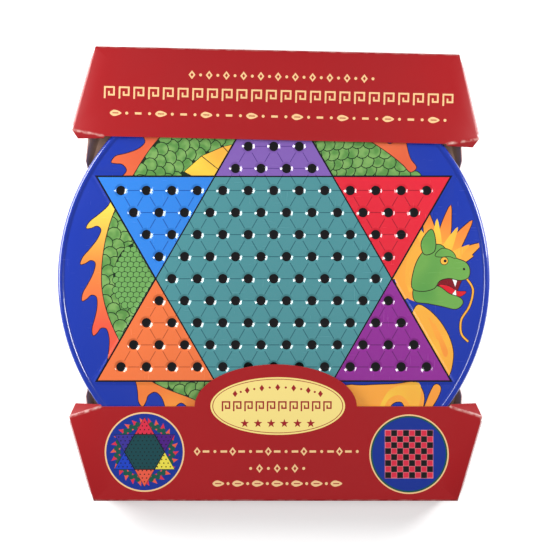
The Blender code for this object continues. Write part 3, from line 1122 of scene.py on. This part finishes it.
def scales(notch, start, end, low=-RING_HALF + 3.0):
    """Overlapping round scales in staggered rows, each with a dark edge."""
    shapes = []
    draw = random.Random(notch)
    angle = start
    column = 0
    while angle < end:
        reach = low + (SCALE_STEP / 2 if column % 2 else 0.0)
        while reach <= RING_HALF - 1.0:
            size = SCALE_STEP * (0.58 + 0.05 * draw.random())
            x, y = polar(ring_radius(angle) + reach, angle + 0.5 * draw.random())
            shapes.append(("scale_edge", circle(x, y, size + 0.5, 11)))
            shapes.append(("scale", circle(x, y, size - 0.15, 11)))
            reach += SCALE_STEP
        angle += math.degrees(SCALE_STEP * 0.7 / 105)
        column += 1
    return shapes


def belly(start, end):
    """Pale plates along the ring's inner side, each a little slanted."""
    shapes = []
    angle = start
    while angle < end:
        after = angle + BELLY_STEP
        plate = [polar(ring_radius(a) - RING_HALF - BELLY_WIDTH, a - 3) for a in (after, angle)]
        plate += [polar(ring_radius(a) - RING_HALF + 1.0, a) for a in (angle + 2, after + 2)]
        shapes.append(("outline", grown(plate, 0.4)))
        shapes.append(("flame_yellow", grown(plate, -0.35)))
        angle = after
    return shapes


def outlined(ink, outline, width=0.6):
    """A shape with a dark line round it."""
    return [("outline", grown(outline, width)), (ink, outline)]


def flame_fan(x, y, start, end, count, root, side, top):
    """A fan of flame tongues round a centre, taller towards the top."""
    fan = []
    for k in range(count):
        for share, height in FAN_TONGUE:
            angle = start + (k + share) * (end - start) / count
            tall = side + (top - side) * max(0.0, math.sin(math.radians(angle)))
            fan.append(polar(root + height * (tall - root), angle, x, y))
    return curved([*fan, (x - root, y - root)], 3)


# The creature's head is a plain side view of simple curves, with a fan of flames behind it.
cheek = [(101, -6), (103, 8), (108, 18), (115, 24), (122, 24.5)]
snout = [(127, 20), (133, 15), (140, 12), (143, 7), (142, 1), (136, -1)]
upper_head = curved([*cheek, *snout, (128, 0.5), (121, -1.5), (117, -7), (108, -9)])
jaw = [(103, -6), (113, -5), (121, -6), (128, -11), (136, -14), (138, -18)]
lower_head = curved([*jaw, (133, -22), (123, -20), (113, -18), (103, -16)])
lips = [(117, -4), (124, 0), (131, 0.5), (137, 0), (136, -4), (134, -9)]
mouth = curved([*lips, (133, -15), (127, -12), (120, -8)])
tongue_tip = [(134, -9), (140.5, -9.5), (136, -13)]
tongue_shape = curved([(121, -4.5), (128, -5.5), *tongue_tip, (129, -11.5), (124, -9)])
ear = curved([(110, 18), (108, 27), (115, 36), (118, 28), (117, 20)])
brow = curved([(118, 17), (123, 22), (130, 20), (133, 15), (128, 16.5), (123, 16)])
fin_edge = [(104, -20), (112, -22), (122, -32), (129, -45), (131, -58)]
fin = curved([*fin_edge, (126, -72), (112, -56), (100, -36)])
fin_ribs = [
    curved([(113, -28), (122, -42), (119, -44)]),
    curved([(117, -32), (127, -52), (124, -56)]),
]
feeler = open_curve([(141, 0), (145.5, -8), (143, -20), (137, -30), (137, -40), (142, -46)])
head_art = [
    *outlined("flame_orange", flame_fan(117, 8, 12, 204, 8, 25, 33, 48)),
    ("flame_orange", circle(110, 4, 22, 24)),
    ("flame_yellow", flame_fan(117, 8, 16, 150, 5, 18, 25, 36)),
    ("flame_yellow", circle(111, 4, 15, 24)),
    *outlined("flame_yellow", fin),
    *[("flame_orange", rib) for rib in fin_ribs],
    *outlined("flame_yellow", stroke(feeler, 1.3), 0.45),
    *outlined("dark_red", mouth, 0.4),
    *outlined("red", tongue_shape, 0.4),
    *outlined("white", [(130, 1), (134.5, 1), (132.6, -6)], 0.35),
    *outlined("white", [(129.5, -12.5), (133.5, -14.5), (133, -8)], 0.35),
    *outlined("skin", lower_head),
    *outlined("skin", upper_head),
    *outlined("skin", ear),
    *outlined("skin", brow, 0.5),
    *outlined("flame_yellow", circle(124.5, 13, 2.6, 20), 0.45),
    ("outline", circle(125.2, 13, 1.1, 12)),
    ("outline", circle(139, 7, 0.9, 12)),
]

# Below it curls a flame plume, and opposite lies a coil of small scales.
plume_top = [(50, -80), (66, -78), (88, -77), (104, -76), (110, -88), (104, -104), (97, -96)]
plume_foot = [(93, -90), (86, -92), (80, -104), (72, -116), (58, -120), (48, -104)]
light_top = [(92, -78), (106, -76), (107, -88), (103, -99), (98, -90), (92, -85)]
light_foot = [(84, -88), (78, -99), (72, -108), (78, -92), (84, -82)]
plume_tip = [(117, -78), (122, -80), (118, -90), (108, -104), (106, -108), (110, -94)]
plume_art = [
    *outlined("flame_orange", curved(plume_top + plume_foot)),
    ("flame_yellow", curved(light_top + light_foot)),
    *outlined("flame_orange", curved(plume_tip)),
]
coil_left = [(-98, 27), (-111, 19), (-117, 2), (-111, -14), (-98, -24)]
coil = curved([(-84, 22), *coil_left, (-84, -18), (-78, 2)], 5)
coil_art = [("scale_edge", grown(coil, 0.5))]
for row in range(14):
    for column in range(10):
        x = -117.63 + 4.37 * column + (2.2 if row % 2 else 0)
        y = 24.71 - 3.67 * row
        if math.hypot((x + 98) / 19, (y - 1) / 25) < 1:
            coil_art.append(("scale_edge", circle(x, y, 2.9, 8)))
            coil_art.append(("scale_small", circle(x, y, 2.45, 8)))

notch_art = {
    0: head_art,
    60: [
        *body(30, 92, -26),
        *scales(60, 32, 92, low=-24),
        *outlined("flame_red", fringe(38, 84)),
    ],
    120: [
        *body(88, 150, -22),
        *scales(120, 88, 148),
        *outlined("flame_red", fringe(92, 154)),
        *belly(90, 128),
    ],
    180: [
        *body(146, 214, -26),
        *scales(180, 148, 212, low=-20),
        *coil_art,
        *outlined("flame_side", fringe(153.3, 207.6, 0.76)),
    ],
    240: [
        *body(208, 270, -22),
        *scales(240, 210, 268),
        *outlined("flame_orange", fringe(214, 262)),
        *belly(240, 268),
    ],
    300: plume_art,
}

TIP_INKS = {90: "violet", 150: "sky", 210: "orange", 270: "yellow", 330: "purple", 30: "crimson"}
SMALL_INRADIUS = STAR_NOTCH / (2 * math.sqrt(3))


def star_outline(width):
    """The whole star, grown by a width."""
    return star_points(0, 0, STAR_TIP + 2 * width, STAR_NOTCH + width * 2 / math.sqrt(3))


def tip_outline(angle, inset):
    """One of the star's six points, a triangle a little inside its black line."""
    middle = polar(STAR_LINE + SMALL_INRADIUS, angle)
    reach = 2 * (SMALL_INRADIUS - inset)
    return [polar(reach, angle + a, *middle) for a in (0, 120, 240)]


SMALLEST_MARK = 0.3  # square millimetres; slivers left at the star's edge are dropped
lid_print = []
for notch, shapes in notch_art.items():
    for ink, outline in shapes:
        outline = in_notch(notch, outline)
        if abs(signed_area(outline)) > SMALLEST_MARK:
            lid_print.append((ink, outline))
lid_print.append(("black", star_outline(OUTER_LINE)))
for angle, ink in TIP_INKS.items():
    lid_print.append((ink, tip_outline(angle, INNER_LINE)))
lid_print.append(("teal", circle(0, 0, (STAR_LINE - INNER_LINE) / math.cos(math.pi / 6), 6)))
near, far = DIMPLE_RING + 0.05, PITCH - DIMPLE_RING - 0.05
for x, y in holes:
    for direction in (0, 60, 120):
        next_x, next_y = polar(PITCH, direction, x, y)
        if (round(2 * next_x / PITCH), round(next_y / ROW)) in hole_grid:
            dx, dy = polar(1.0, direction)
            corners = ((near, -NET_LINE), (near, NET_LINE), (far, NET_LINE), (far, -NET_LINE))
            line = [(x + a * dx + b * dy, y + a * dy - b * dx) for a, b in corners]
            lid_print.append(("net", line))
for x, y in holes:
    lid_print.append(("spot", circle(x, y, SPOT, DIMPLE_SIDES)))
dimple_rings = [
    circle(x, y, radius, DIMPLE_SIDES)
    for x, y in holes
    for radius, _ in DIMPLE_PROFILE[1:]
    if radius != SPOT
]
slope_lines = []
for gap in (0.35, 0.75, 1.15, SLOPE_WIDTH):
    ring = star_outline(OUTER_LINE + gap)
    for a, b in zip(ring, ring[1:] + ring[:1]):
        steps = [Vector(a).lerp(Vector(b), k / 240) for k in range(241)]
        inside = [tuple(p) for p in steps if p.length < FIELD - 0.5]
        slope_lines.append([inside[0], inside[-1]])
points, triangles, inks = lay_out(
    circle(0, 0, FIELD, TIN_SIDES),
    lid_print,
    [ring + ring[:1] for ring in dimple_rings] + slope_lines,
)


def region(x, y):
    """The name of the star's part that a point is in."""
    if max(abs(across(x, y, degrees)) for degrees in (30, 90, 150)) < STAR_LINE:
        return "teal"
    return TIP_INKS[min(TIP_INKS, key=lambda a: math.dist((x, y), polar(100, a)))]


def divided(x, y):
    """True on the black line between two parts of the star."""
    sides = [abs(across(x, y, degrees)) for degrees in (30, 90, 150)]
    return any(abs(side - STAR_LINE) < INNER_LINE for side in sides)


for k, ink in enumerate(inks):
    if ink == "net":
        centre = sum((points[i] for i in triangles[k]), Vector((0, 0))) / 3
        inks[k] = "black" if divided(*centre) else region(*centre) + "_line"

REGION_COLOURS = {
    "teal": ((72, 136, 142), (38, 92, 102)),
    "violet": ((122, 88, 168), (84, 54, 132)),
    "sky": ((44, 124, 214), (22, 78, 160)),
    "orange": ((226, 112, 60), (176, 76, 36)),
    "yellow": ((238, 196, 40), (190, 150, 24)),
    "purple": ((136, 40, 140), (96, 24, 104)),
    "crimson": ((212, 32, 52), (152, 18, 36)),
}
for ink, (flat, line) in REGION_COLOURS.items():
    tin_inks[ink] = tin_ink(f"ink_{ink}", colour(*flat))
    tin_inks[f"{ink}_line"] = tin_ink(f"ink_{ink}_line", colour(*line))
for ink, swatch in {
    "spot": (6, 6, 10),
    "outline": (40, 20, 26),
    "scale_edge": (16, 44, 22),
    "scale_small": (104, 158, 84),
    "dark_red": (120, 16, 30),
    "white": (240, 240, 240),
}.items():
    tin_inks[ink] = tin_ink(f"ink_{ink}", colour(*swatch))


def graded_ink(name, low, high, scale):
    """An ink screened from one colour to another over the print."""
    ink = tin_ink(name, low)
    tree = ink.node_tree
    tone = between(tree, grain(tree, scale, 1.0), 0.38, 0.62)
    shader = tree.nodes["Principled BSDF"]
    tree.links.new(blended(tree, tone, low, high), shader.inputs["Base Color"])
    return ink


for ink, low, high, scale in (
    ("scale", (84, 136, 66), (118, 162, 88), 150.0),
    ("flame_orange", (222, 100, 50), (236, 158, 60), 16.0),
    ("flame_yellow", (238, 206, 70), (232, 164, 60), 22.0),
    ("flame_red", (208, 84, 52), (224, 112, 66), 16.0),
    ("skin", (74, 140, 66), (104, 158, 74), 24.0),
):
    tin_inks[ink] = graded_ink(f"ink_{ink}", colour(*low), colour(*high), scale)

# The side flames are screened from red at their foot, through orange, to yellow at the top.
side_ink = tin_ink("ink_flame_side", colour(230, 130, 60))
tree = side_ink.node_tree
place = node(tree, "ShaderNodeTexCoord")
split = node(tree, "ShaderNodeSeparateXYZ")
tree.links.new(place.outputs["Object"], split.inputs[0])
foot = between(tree, split.outputs["Y"], -0.035, 0.012)
head = between(tree, split.outputs["Y"], 0.012, 0.06)
warm = blended(tree, foot, colour(222, 84, 62), colour(226, 132, 58))
screened = blended(tree, head, warm, colour(238, 216, 84))
tree.links.new(screened, tree.nodes["Principled BSDF"].inputs["Base Color"])
tin_inks["flame_side"] = side_ink

field_top = star_top - STAR_RISE
lid_rim = [
    (FIELD, field_top),
    (FIELD + 0.7, field_top - 0.12),
    (FIELD + 1.3, field_top + 0.05),
    (FIELD + 1.9, field_top + 0.55),
    (FIELD + 2.6, lid_high - 0.18),
    (FIELD + 3.4, lid_high),
    (FIELD + 4.2, lid_high - 0.08),
    (FIELD + 5.0, lid_high - 0.5),
    (FIELD + 5.6, lid_high - 1.15),
    (FIELD + 5.95, lid_high - 2.0),
    (FIELD + 6.0, lid_high - 3.0),
    (FIELD + 6.0, lid_low + 1.9),
    (FIELD + 6.15, lid_low + 1.5),
    (FIELD + 6.7, lid_low + 1.2),
    (tin_radius, lid_low + 0.7),
    (tin_radius - 0.05, lid_low + 0.2),
    (tin_radius - 0.4, lid_low),
]
lid_shell = pressed_tin("lid_shell", (points, triangles, inks), lid_height, lid_rim, tin_inks, 1)
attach(lid_shell, "lid")
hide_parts("tin_lid")

# Carrier ends
# Each end of the blank folds up as a wall and over the tin as a band, with side flaps turned
# down and small corner toes bent under. Cream ornaments and a badge are printed on the bands.

TOP_HEIGHT = 65.5  # of the bands, from the crease to the free edge
BOTTOM_HEIGHT = 69.0
TOP_SAG = 0.8
BOTTOM_SAG = 0.6
CREASE_HALF = 132.5
SLANT = 61.5  # how far down the band its slanted edges run
FLAP = 11.0
FLAP_FOLD = 0.9
FLAP_FLARE = 0.24
FLAP_START, FLAP_END, FLAP_CUT = 4.0, 4.0, 5.0  # along the slanted edge
TOE_LENGTH = 24.0
TOE_SLOPE = 0.9
WALL_BOW = 0.5
CREASE_WEAR = 0.3
FLAP_WEAR = 0.35
QUARTER = FOLD_RADIUS * math.pi / 2
WALL_LENGTH = carrier_top - 2 * FOLD_RADIUS

band_inks = {"": red_card}
for ink, swatch in {
    "cream": (236, 214, 130),
    "gold": (232, 190, 136),
    "dark_red": (150, 24, 30),
    "black": (16, 16, 18),
    "blue": (14, 44, 138),
    "deep_green": (16, 78, 66),
    "pink": (222, 130, 140),
    "red": (206, 40, 66),
    "deep_teal": (16, 66, 72),
    "violet": (54, 44, 140),
    "sky": (20, 60, 180),
    "orange": (218, 84, 62),
    "yellow": (220, 206, 70),
    "purple": (70, 20, 120),
}.items():
    printed = material(f"card_{ink}", colour(*swatch), Coat_Weight=0.35, Coat_Roughness=0.22)
    band_inks[ink] = dress(printed, board_wear_and_highlight, 0.2, 0.0005, flat=True)


def moved(shapes, x, y, turn=0.0, size=1.0):
    """Shapes turned and scaled about their own middle, then set down at a place."""
    cos, sin = size * math.cos(turn), size * math.sin(turn)
    return [
        (ink, [(x + cos * px - sin * py, y + sin * px + cos * py) for px, py in outline])
        for ink, outline in shapes
    ]


def lozenge(ink, width, height):
    """A diamond that stands on its point."""
    return [(ink, [(-width / 2, 0), (0, -height / 2), (width / 2, 0), (0, height / 2)])]


def key_unit(ink, width, height, line):
    """One turn of a square meander."""
    w, h = width / 2, height / 2
    outer = [(-w, -h), (-w, h), (w * 0.55, h)]
    inner = [(w * 0.55, -h * 0.35), (-w * 0.3, -h * 0.35), (-w * 0.3, h * 0.3)]
    return [(ink, stroke(outer + inner, line))]


def ornament_row(x0, x1, y, pattern, pitch):
    """Repeats a small pattern of shapes along a straight line."""
    count = max(1, round((x1 - x0) / pitch))
    shapes = []
    for k in range(count):
        shapes += moved(pattern[k % len(pattern)], x0 + (x1 - x0) * (k + 0.5) / count, y)
    return shapes


def five_star(x, y, radius):
    """A plain five-pointed star."""
    return [polar(radius * (0.42 if k % 2 else 1.0), 90 + 36 * k, x, y) for k in range(10)]


def oval(x, y, half_x, half_y, sides=72):
    """An upright ellipse."""
    turns = [math.tau * k / sides for k in range(sides)]
    return [(x + half_x * math.cos(a), y + half_y * math.sin(a)) for a in turns]


def placed(end, shapes):
    """Shapes drawn on the whole object from above, moved into a band's own coordinates."""
    back = end.inverted()
    return [
        (ink, [(back @ Vector((x, y, 0))).xy[:] for x, y in outline]) for ink, outline in shapes
    ]


small_dot = [("gold", circle(0, 0, 1.1, 12))]
small_bar = [("gold", box_outline(0, 0, 2.4, 0.8))]
tall_lozenge = lozenge("gold", 5.0, 6.4) + lozenge("", 2.2, 3.0)
leaf_edge = [(-4.2, 0), (-1.5, 2.2), (2.0, 1.6), (4.4, 0), (2.0, -1.6), (-1.5, -2.2)]
leaf = [("gold", curved(leaf_edge, 3)), ("", box_outline(0, 0, 2.2, 0.35))]


def slant_side(half_width):
    """Unit vectors of a band's right slanted edge: along it and away from the band."""
    along = Vector((half_width - CREASE_HALF, -SLANT)).normalized()
    return along, Vector((-along.y, along.x))


BADGE_HALF_X = 59.0
BADGE_HALF_Y = 30.6


def badge_rise(height):
    """The half ellipse that stands up from the band's free edge, left to right."""
    points = []
    for k in range(41):
        angle = math.pi * k / 40
        x, y = BADGE_HALF_X * math.cos(angle), BADGE_HALF_Y * math.sin(angle)
        points.append((-x, -height - y))
    return points


def toe_fold(height, half_width):
    """Where a corner toe bends: its outer and inner ends, and the way it points."""
    line = Vector((TOE_LENGTH, height - SLANT)).normalized()
    outer, inner = Vector((half_width, -SLANT)), Vector((half_width - TOE_LENGTH, -height))
    return outer, inner, Vector((line.y, -line.x))


def end_layout(height, half_width, has_badge, ornaments):
    """The flat pattern of wall and band.

    x runs along the fold. y is 0 at the band's crease line and falls towards the tin, and the
    wall lies above it.
    """
    along, out = slant_side(half_width)
    corner = Vector((CREASE_HALF, 0.0))
    far, toe_inner, toe_side = toe_fold(height, half_width)
    flap_edge = out * (FLAP_FOLD * math.pi / 2 - FLAP_FOLD + FLAP)
    flap_start, flap_end = corner + along * FLAP_START, far - along * FLAP_END
    right = [
        (toe_inner.x - 1.3, -height),
        toe_inner[:],
        (toe_inner.x + 1.0, -height - 1.4),
        (half_width - 4.0, -height - 1.8),
        far[:],
        flap_end[:],
        (flap_end + flap_edge)[:],
        (flap_start + along * FLAP_CUT + flap_edge)[:],
        flap_start[:],
        corner[:],
        (CREASE_HALF, FOLD_RADIUS - 0.2),
        (WALL_HALF, QUARTER),
        (WALL_HALF, QUARTER - FOLD_RADIUS + WALL_LENGTH),
    ]
    outline = right + [(-x, y) for x, y in reversed(right)]
    if has_badge:
        outline += badge_rise(height)

    guides = []
    for share in (0.0, 0.2, 0.4, 0.6, 0.8, 1.0):
        y = -FOLD_RADIUS + QUARTER * share
        guides.append([(-WALL_HALF + 0.1, y), (WALL_HALF - 0.1, y)])
    flap_quarter = QUARTER * FLAP_FOLD / FOLD_RADIUS
    for sign in (-1, 1):
        pairs = [
            (corner + along * 4.2 + out * reach, far - along * 4.2 + out * reach)
            for reach in (-FLAP_FOLD, 0.47 - FLAP_FOLD, 0.94 - FLAP_FOLD, flap_quarter - FLAP_FOLD)
        ]
        for reach in (-1.5, 0.0, 1.3):
            a, b = far + toe_side * reach, toe_inner + toe_side * reach
            inset = 0.08 if reach else 0.0
            pairs.append((a.lerp(b, inset), b.lerp(a, inset)))
        before_fold = out * (FLAP_FOLD + 0.7)
        pairs.append((corner + along * 2.0 - before_fold, far - along * 2.0 - before_fold))
        guides += [[(sign * a.x, a.y), (sign * b.x, b.y)] for a, b in pairs]
    # Short marks spread over the band and the wall keep the triangles small, so both can bow.
    for x in range(-120, 121, 20):
        for y in (-12, -24, -36, -48, -58, QUARTER + 8):
            guides.append([(x, y), (x + 0.4, y)])
    below = -FOLD_RADIUS - 0.6
    guides.append([(-WALL_HALF + 0.3, below), (WALL_HALF - 0.3, below)])
    return lay_out(outline, ornaments, guides)


def end_lift(end, height, half_width, sag):
    """Folds the flat pattern: wall, rounded crease, slightly domed band, flaps and toes."""
    _, out = slant_side(half_width)
    far, _, toe_side = toe_fold(height, half_width)

    def lift(x, y):
        """Where a point of the flat pattern stands on the folded card."""
        wall_start = QUARTER - FOLD_RADIUS
        if y >= wall_start:
            down = y - wall_start
            bow = WALL_BOW * math.sin(math.pi * min(1, down / WALL_LENGTH))
            bow *= math.cos(math.pi * x / 2 / WALL_HALF)
            return end_point(end, x, bow, carrier_top - FOLD_RADIUS - down)
        if y > -FOLD_RADIUS:
            angle = (y + FOLD_RADIUS) / FOLD_RADIUS
            back = -FOLD_RADIUS + FOLD_RADIUS * math.sin(angle)
            return end_point(end, x, back, carrier_top - FOLD_RADIUS * (1 - math.cos(angle)))
        sign = 1 if x >= 0 else -1
        place = Vector((abs(x), y))
        beyond = (place - Vector((CREASE_HALF, 0))).dot(out)
        z = carrier_top
        if beyond > -FLAP_FOLD and -SLANT - 2 < y:
            reach = beyond + FLAP_FOLD
            angle = min(reach / FLAP_FOLD, math.pi / 2)
            stay = place - out * reach
            place = stay + out * FLAP_FOLD * math.sin(angle)
            hang = max(0.0, reach - FLAP_FOLD * math.pi / 2)
            place += out * FLAP_FLARE * hang
            z -= FLAP_FOLD * (1 - math.cos(angle)) + hang
        past = (place - far).dot(toe_side)
        if past > 0 and place.x > half_width - TOE_LENGTH - 0.5:
            z -= past * TOE_SLOPE
        down_band = min(1.0, max(0.0, -y - FOLD_RADIUS) / (height + 20))
        z -= sag * max(0.0, 1 - (abs(x) / 140) ** 4) * math.sin(math.pi * down_band)
        return end_point(end, sign * place.x, place.y, z)

    return lift


def wear_and_highlight_marks(height, half_width):
    """How whitened the print is: most on the line of the toes, as a painted crease highlight as
    well as rubbed print; less, as wear, on the crease and the flaps.
    """
    _, out = slant_side(half_width)
    _, toe_inner, toe_side = toe_fold(height, half_width)

    def mark(x, y):
        """0 for sound print, 1 for print rubbed through; the toes' line gets 1 as a painted
        highlight too.
        """
        if y > -FOLD_RADIUS:
            return CREASE_WEAR if y < QUARTER - FOLD_RADIUS else 0.0
        place = Vector((abs(x), y))
        off = place - toe_inner
        # The toes' crease line is whitened in full: a painted highlight along the bend as well as
        # rubbed print.
        if off.dot(Vector((-toe_side.y, toe_side.x))) >= -0.5 and abs(off.dot(toe_side)) < 0.3:
            return 1.0
        return FLAP_WEAR if (place - Vector((CREASE_HALF, 0))).dot(out) > 0.0 else 0.0

    return mark


def folding_end(word, end, height, half_width, has_badge, ornaments, sag):
    """The wall and the band as one sheet that bends at its crease, and the fold below the wall."""
    layout = end_layout(height, half_width, has_badge, ornaments)
    folded = sheet(
        f"{word}_end",
        layout,
        end_lift(end, height, half_width, sag),
        band_inks,
        raw_board_painted_light,
        cut_edge,
        BOARD,
        wear_and_highlight_marks(height, half_width),
    )
    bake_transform(folded)
    parts = ("wall", "band", "tab_left", "tab_right")
    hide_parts(*[f"carrier_{word}_{part}" for part in parts])

    def rear(x, u):
        """Bends the strip below the wall through a quarter turn."""
        angle = max(0.0, min(1.0, u / QUARTER)) * math.pi / 2
        y = -FOLD_RADIUS + FOLD_RADIUS * math.sin(angle)
        z = FOLD_RADIUS * (1 - math.cos(angle))
        return end_point(end, -x, y, z)

    rungs = [[(-WALL_HALF, QUARTER * k / 6), (WALL_HALF, QUARTER * k / 6)] for k in range(1, 6)]
    hinge = sheet(
        f"{word}_rear_fold",
        lay_out(box_outline(0, QUARTER / 2, WALL_HALF, QUARTER / 2), guides=rungs),
        rear,
        card_inks,
        raw_board_painted_light,
        cut_edge,
        BOARD,
        lambda x, u: 1.0 if 0 < u < QUARTER else 0.0,
    )
    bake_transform(hinge)


# The top band: three rows of ornament, drawn square to the object and tilted with the band.
top_ornaments = (
    ornament_row(-66, 72, 147, [tall_lozenge, small_dot], 6.2)
    + ornament_row(-127, 130, 132.6, [key_unit("gold", 8.6, 8.2, 1.25)], 10.6)
    + ornament_row(-122, 126, 118, [leaf, small_dot, small_bar, small_dot], 8.2)
)
top_ornaments = placed(TOP_END, moved(top_ornaments, 0.0, 0.0, TOP_TILT))
top_low, top_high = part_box("carrier_top_band")
top_half_width = (top_high.x - top_low.x) / 2 / MM / math.cos(TOP_TILT) - 0.8
folding_end("top", TOP_END, TOP_HEIGHT, top_half_width, False, top_ornaments, TOP_SAG)

# The badge: an oval with an arch of lozenges, a meander and six stars.
BADGE_X, BADGE_Y = 2.9, -92.6
badge_art = [
    ("cream", oval(BADGE_X, BADGE_Y, 49.0, 21.0)),
    ("dark_red", oval(BADGE_X, BADGE_Y, 47.6, 19.8)),
    ("cream", oval(BADGE_X, BADGE_Y, 47.0, 19.3)),
]
badge_lozenge = lozenge("dark_red", 4.0, 5.4)
badge_dot = [("dark_red", circle(0, 0, 0.9, 10))]
for k in range(-6, 7):
    angle = math.radians(90 - 8.2 * k)
    x, y = BADGE_X + 41 * math.cos(angle), BADGE_Y + 13.6 * math.sin(angle)
    badge_art += moved(badge_dot if k % 2 else badge_lozenge, x, y, 0.0, 0.9)
badge_key = [key_unit("dark_red", 6.6, 6.8, 1.1)]
badge_art += ornament_row(BADGE_X - 41, BADGE_X + 41, BADGE_Y - 0.4, badge_key, 8.2)
for k in range(6):
    badge_art.append(("dark_red", five_star(BADGE_X + (k - 2.5) * 9.6, -105.3, 3.3)))

# The two round pictures: the star board in its ring, and the checkerboard.
picture_left = (-94.0, -126.0)
PICTURE_SCALE = 0.168
PICTURE_INKS = {90: "red", 150: "violet", 210: "sky", 270: "orange", 330: "yellow", 30: "purple"}
star_picture = [
    ("gold", circle(*picture_left, 29.0, 72)),
    ("blue", circle(*picture_left, 27.9, 72)),
]
for k in range(26):
    tongue = ((0, 18), (0.1, 21), (1.1, 25.0), (1.0, 18))
    flame = [polar(r, 360 * (k + share) / 26, *picture_left) for share, r in tongue]
    star_picture.append(("red" if k % 2 else "orange", flame))
for k in range(52):
    where = polar(19.0 + 1.6 * (k % 2), 360 * k / 52, *picture_left)
    star_picture.append(("deep_green", circle(*where, 1.9, 8)))
star_picture.append(("black", star_points(*picture_left, 25.5, 14.8)))
for angle, ink in PICTURE_INKS.items():
    where = polar(17.0, angle, *picture_left)
    star_picture.append((ink, [polar(8.0, angle + a, *where) for a in (0, 120, 240)]))
star_picture.append(("deep_teal", circle(*picture_left, 14.2, 6)))
for x, y in holes:
    x, y = picture_left[0] + PICTURE_SCALE * x, picture_left[1] + PICTURE_SCALE * y
    star_picture.append(("black", circle(x, y, 0.55, 6)))

picture_right = (98.4, -127.6)
board_picture = [
    ("gold", circle(*picture_right, 28.9, 72)),
    ("deep_green", circle(*picture_right, 27.9, 72)),
    ("blue", circle(*picture_right, 26.7, 72)),
    ("pink", box_outline(*picture_right, 17.6, 17.6)),
    *board_squares(*picture_right, 4.35, 0.25),
]
bottom_ornaments = (
    badge_art
    + star_picture
    + board_picture
    + ornament_row(-59, 64, -125.7, [tall_lozenge, small_bar, small_dot, small_bar], 6.4)
    + ornament_row(-20, 25, -138, [small_dot, tall_lozenge], 6.4)
    + ornament_row(-44, 49, -149, [leaf, small_dot], 7.4)
)
bottom_low, bottom_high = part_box("carrier_bottom_band")
bottom_half_width = (bottom_high.x - bottom_low.x) / 2 / MM
bottom_ornaments = placed(BOTTOM_END, bottom_ornaments)
folding_end(
    "bottom", BOTTOM_END, BOTTOM_HEIGHT, bottom_half_width, True, bottom_ornaments, BOTTOM_SAG
)

# Table and light
# A plain pale table top, two soft boxes left and right of the pack that put a crescent in each
# dimple, and a wide soft light overhead.

FLOOR_HALF = 3.0
floor_mesh = bpy.data.meshes.new("table")
bm = bmesh.new()
bmesh.ops.create_grid(bm, x_segments=2, y_segments=2, size=FLOOR_HALF)
bm.to_mesh(floor_mesh)
bm.free()
floor = shown("table", floor_mesh)
floor.location = (0, 0, -0.0002)
WHITE = (1.0, 1.0, 1.0, 1.0)
table_top = material(
    "pale_table", (0.92, 0.92, 0.92, 1.0), 0.8, Emission_Color=WHITE, Emission_Strength=0.3
)
floor_mesh.materials.append(table_top)


def soft_box(name, where, aim, width, height, power):
    """A rectangular light, in metres and watts, that faces a place on the table."""
    light = bpy.data.lights.new(name, "AREA")
    light.shape = "RECTANGLE"
    light.size = width
    light.size_y = height
    light.energy = power
    lamp = bpy.data.objects.new(name, light)
    lamp.location = where
    lamp.rotation_euler = (Vector(aim) - Vector(where)).to_track_quat("-Z", "Y").to_euler()
    bpy.context.scene.collection.objects.link(lamp)
    return lamp


soft_box("left_box", (-0.45, 0.13, 0.26), (0, 0.02, 0), 0.36, 0.20, 2.8)
soft_box("right_box", (0.45, 0.13, 0.28), (0, 0.02, 0), 0.17, 0.22, 2.0)
over_box = soft_box("over_box", (0.0, 0.0, 1.7), (0, 0, 0), 0.8, 0.8, 10.5)
over_box.visible_glossy = False
world = bpy.data.worlds.new("studio")
world.use_nodes = True
background = world.node_tree.nodes["Background"]
background.inputs["Color"].default_value = WHITE
background.inputs["Strength"].default_value = 0.16
bpy.context.scene.world = world
bpy.context.scene.view_settings.view_transform = "Standard"

CAMERA_HEIGHT = 1.05
FRAME_WIDTH = 0.4013
SENSOR = 36.0
camera_data = bpy.data.cameras.new("camera")
camera_data.sensor_width = SENSOR
camera_data.lens = SENSOR * (CAMERA_HEIGHT - lid_high * MM) / FRAME_WIDTH
camera = bpy.data.objects.new("camera", camera_data)
camera.location = (0.0009, 0.0027, CAMERA_HEIGHT)
bpy.context.scene.collection.objects.link(camera)
bpy.context.scene.camera = camera
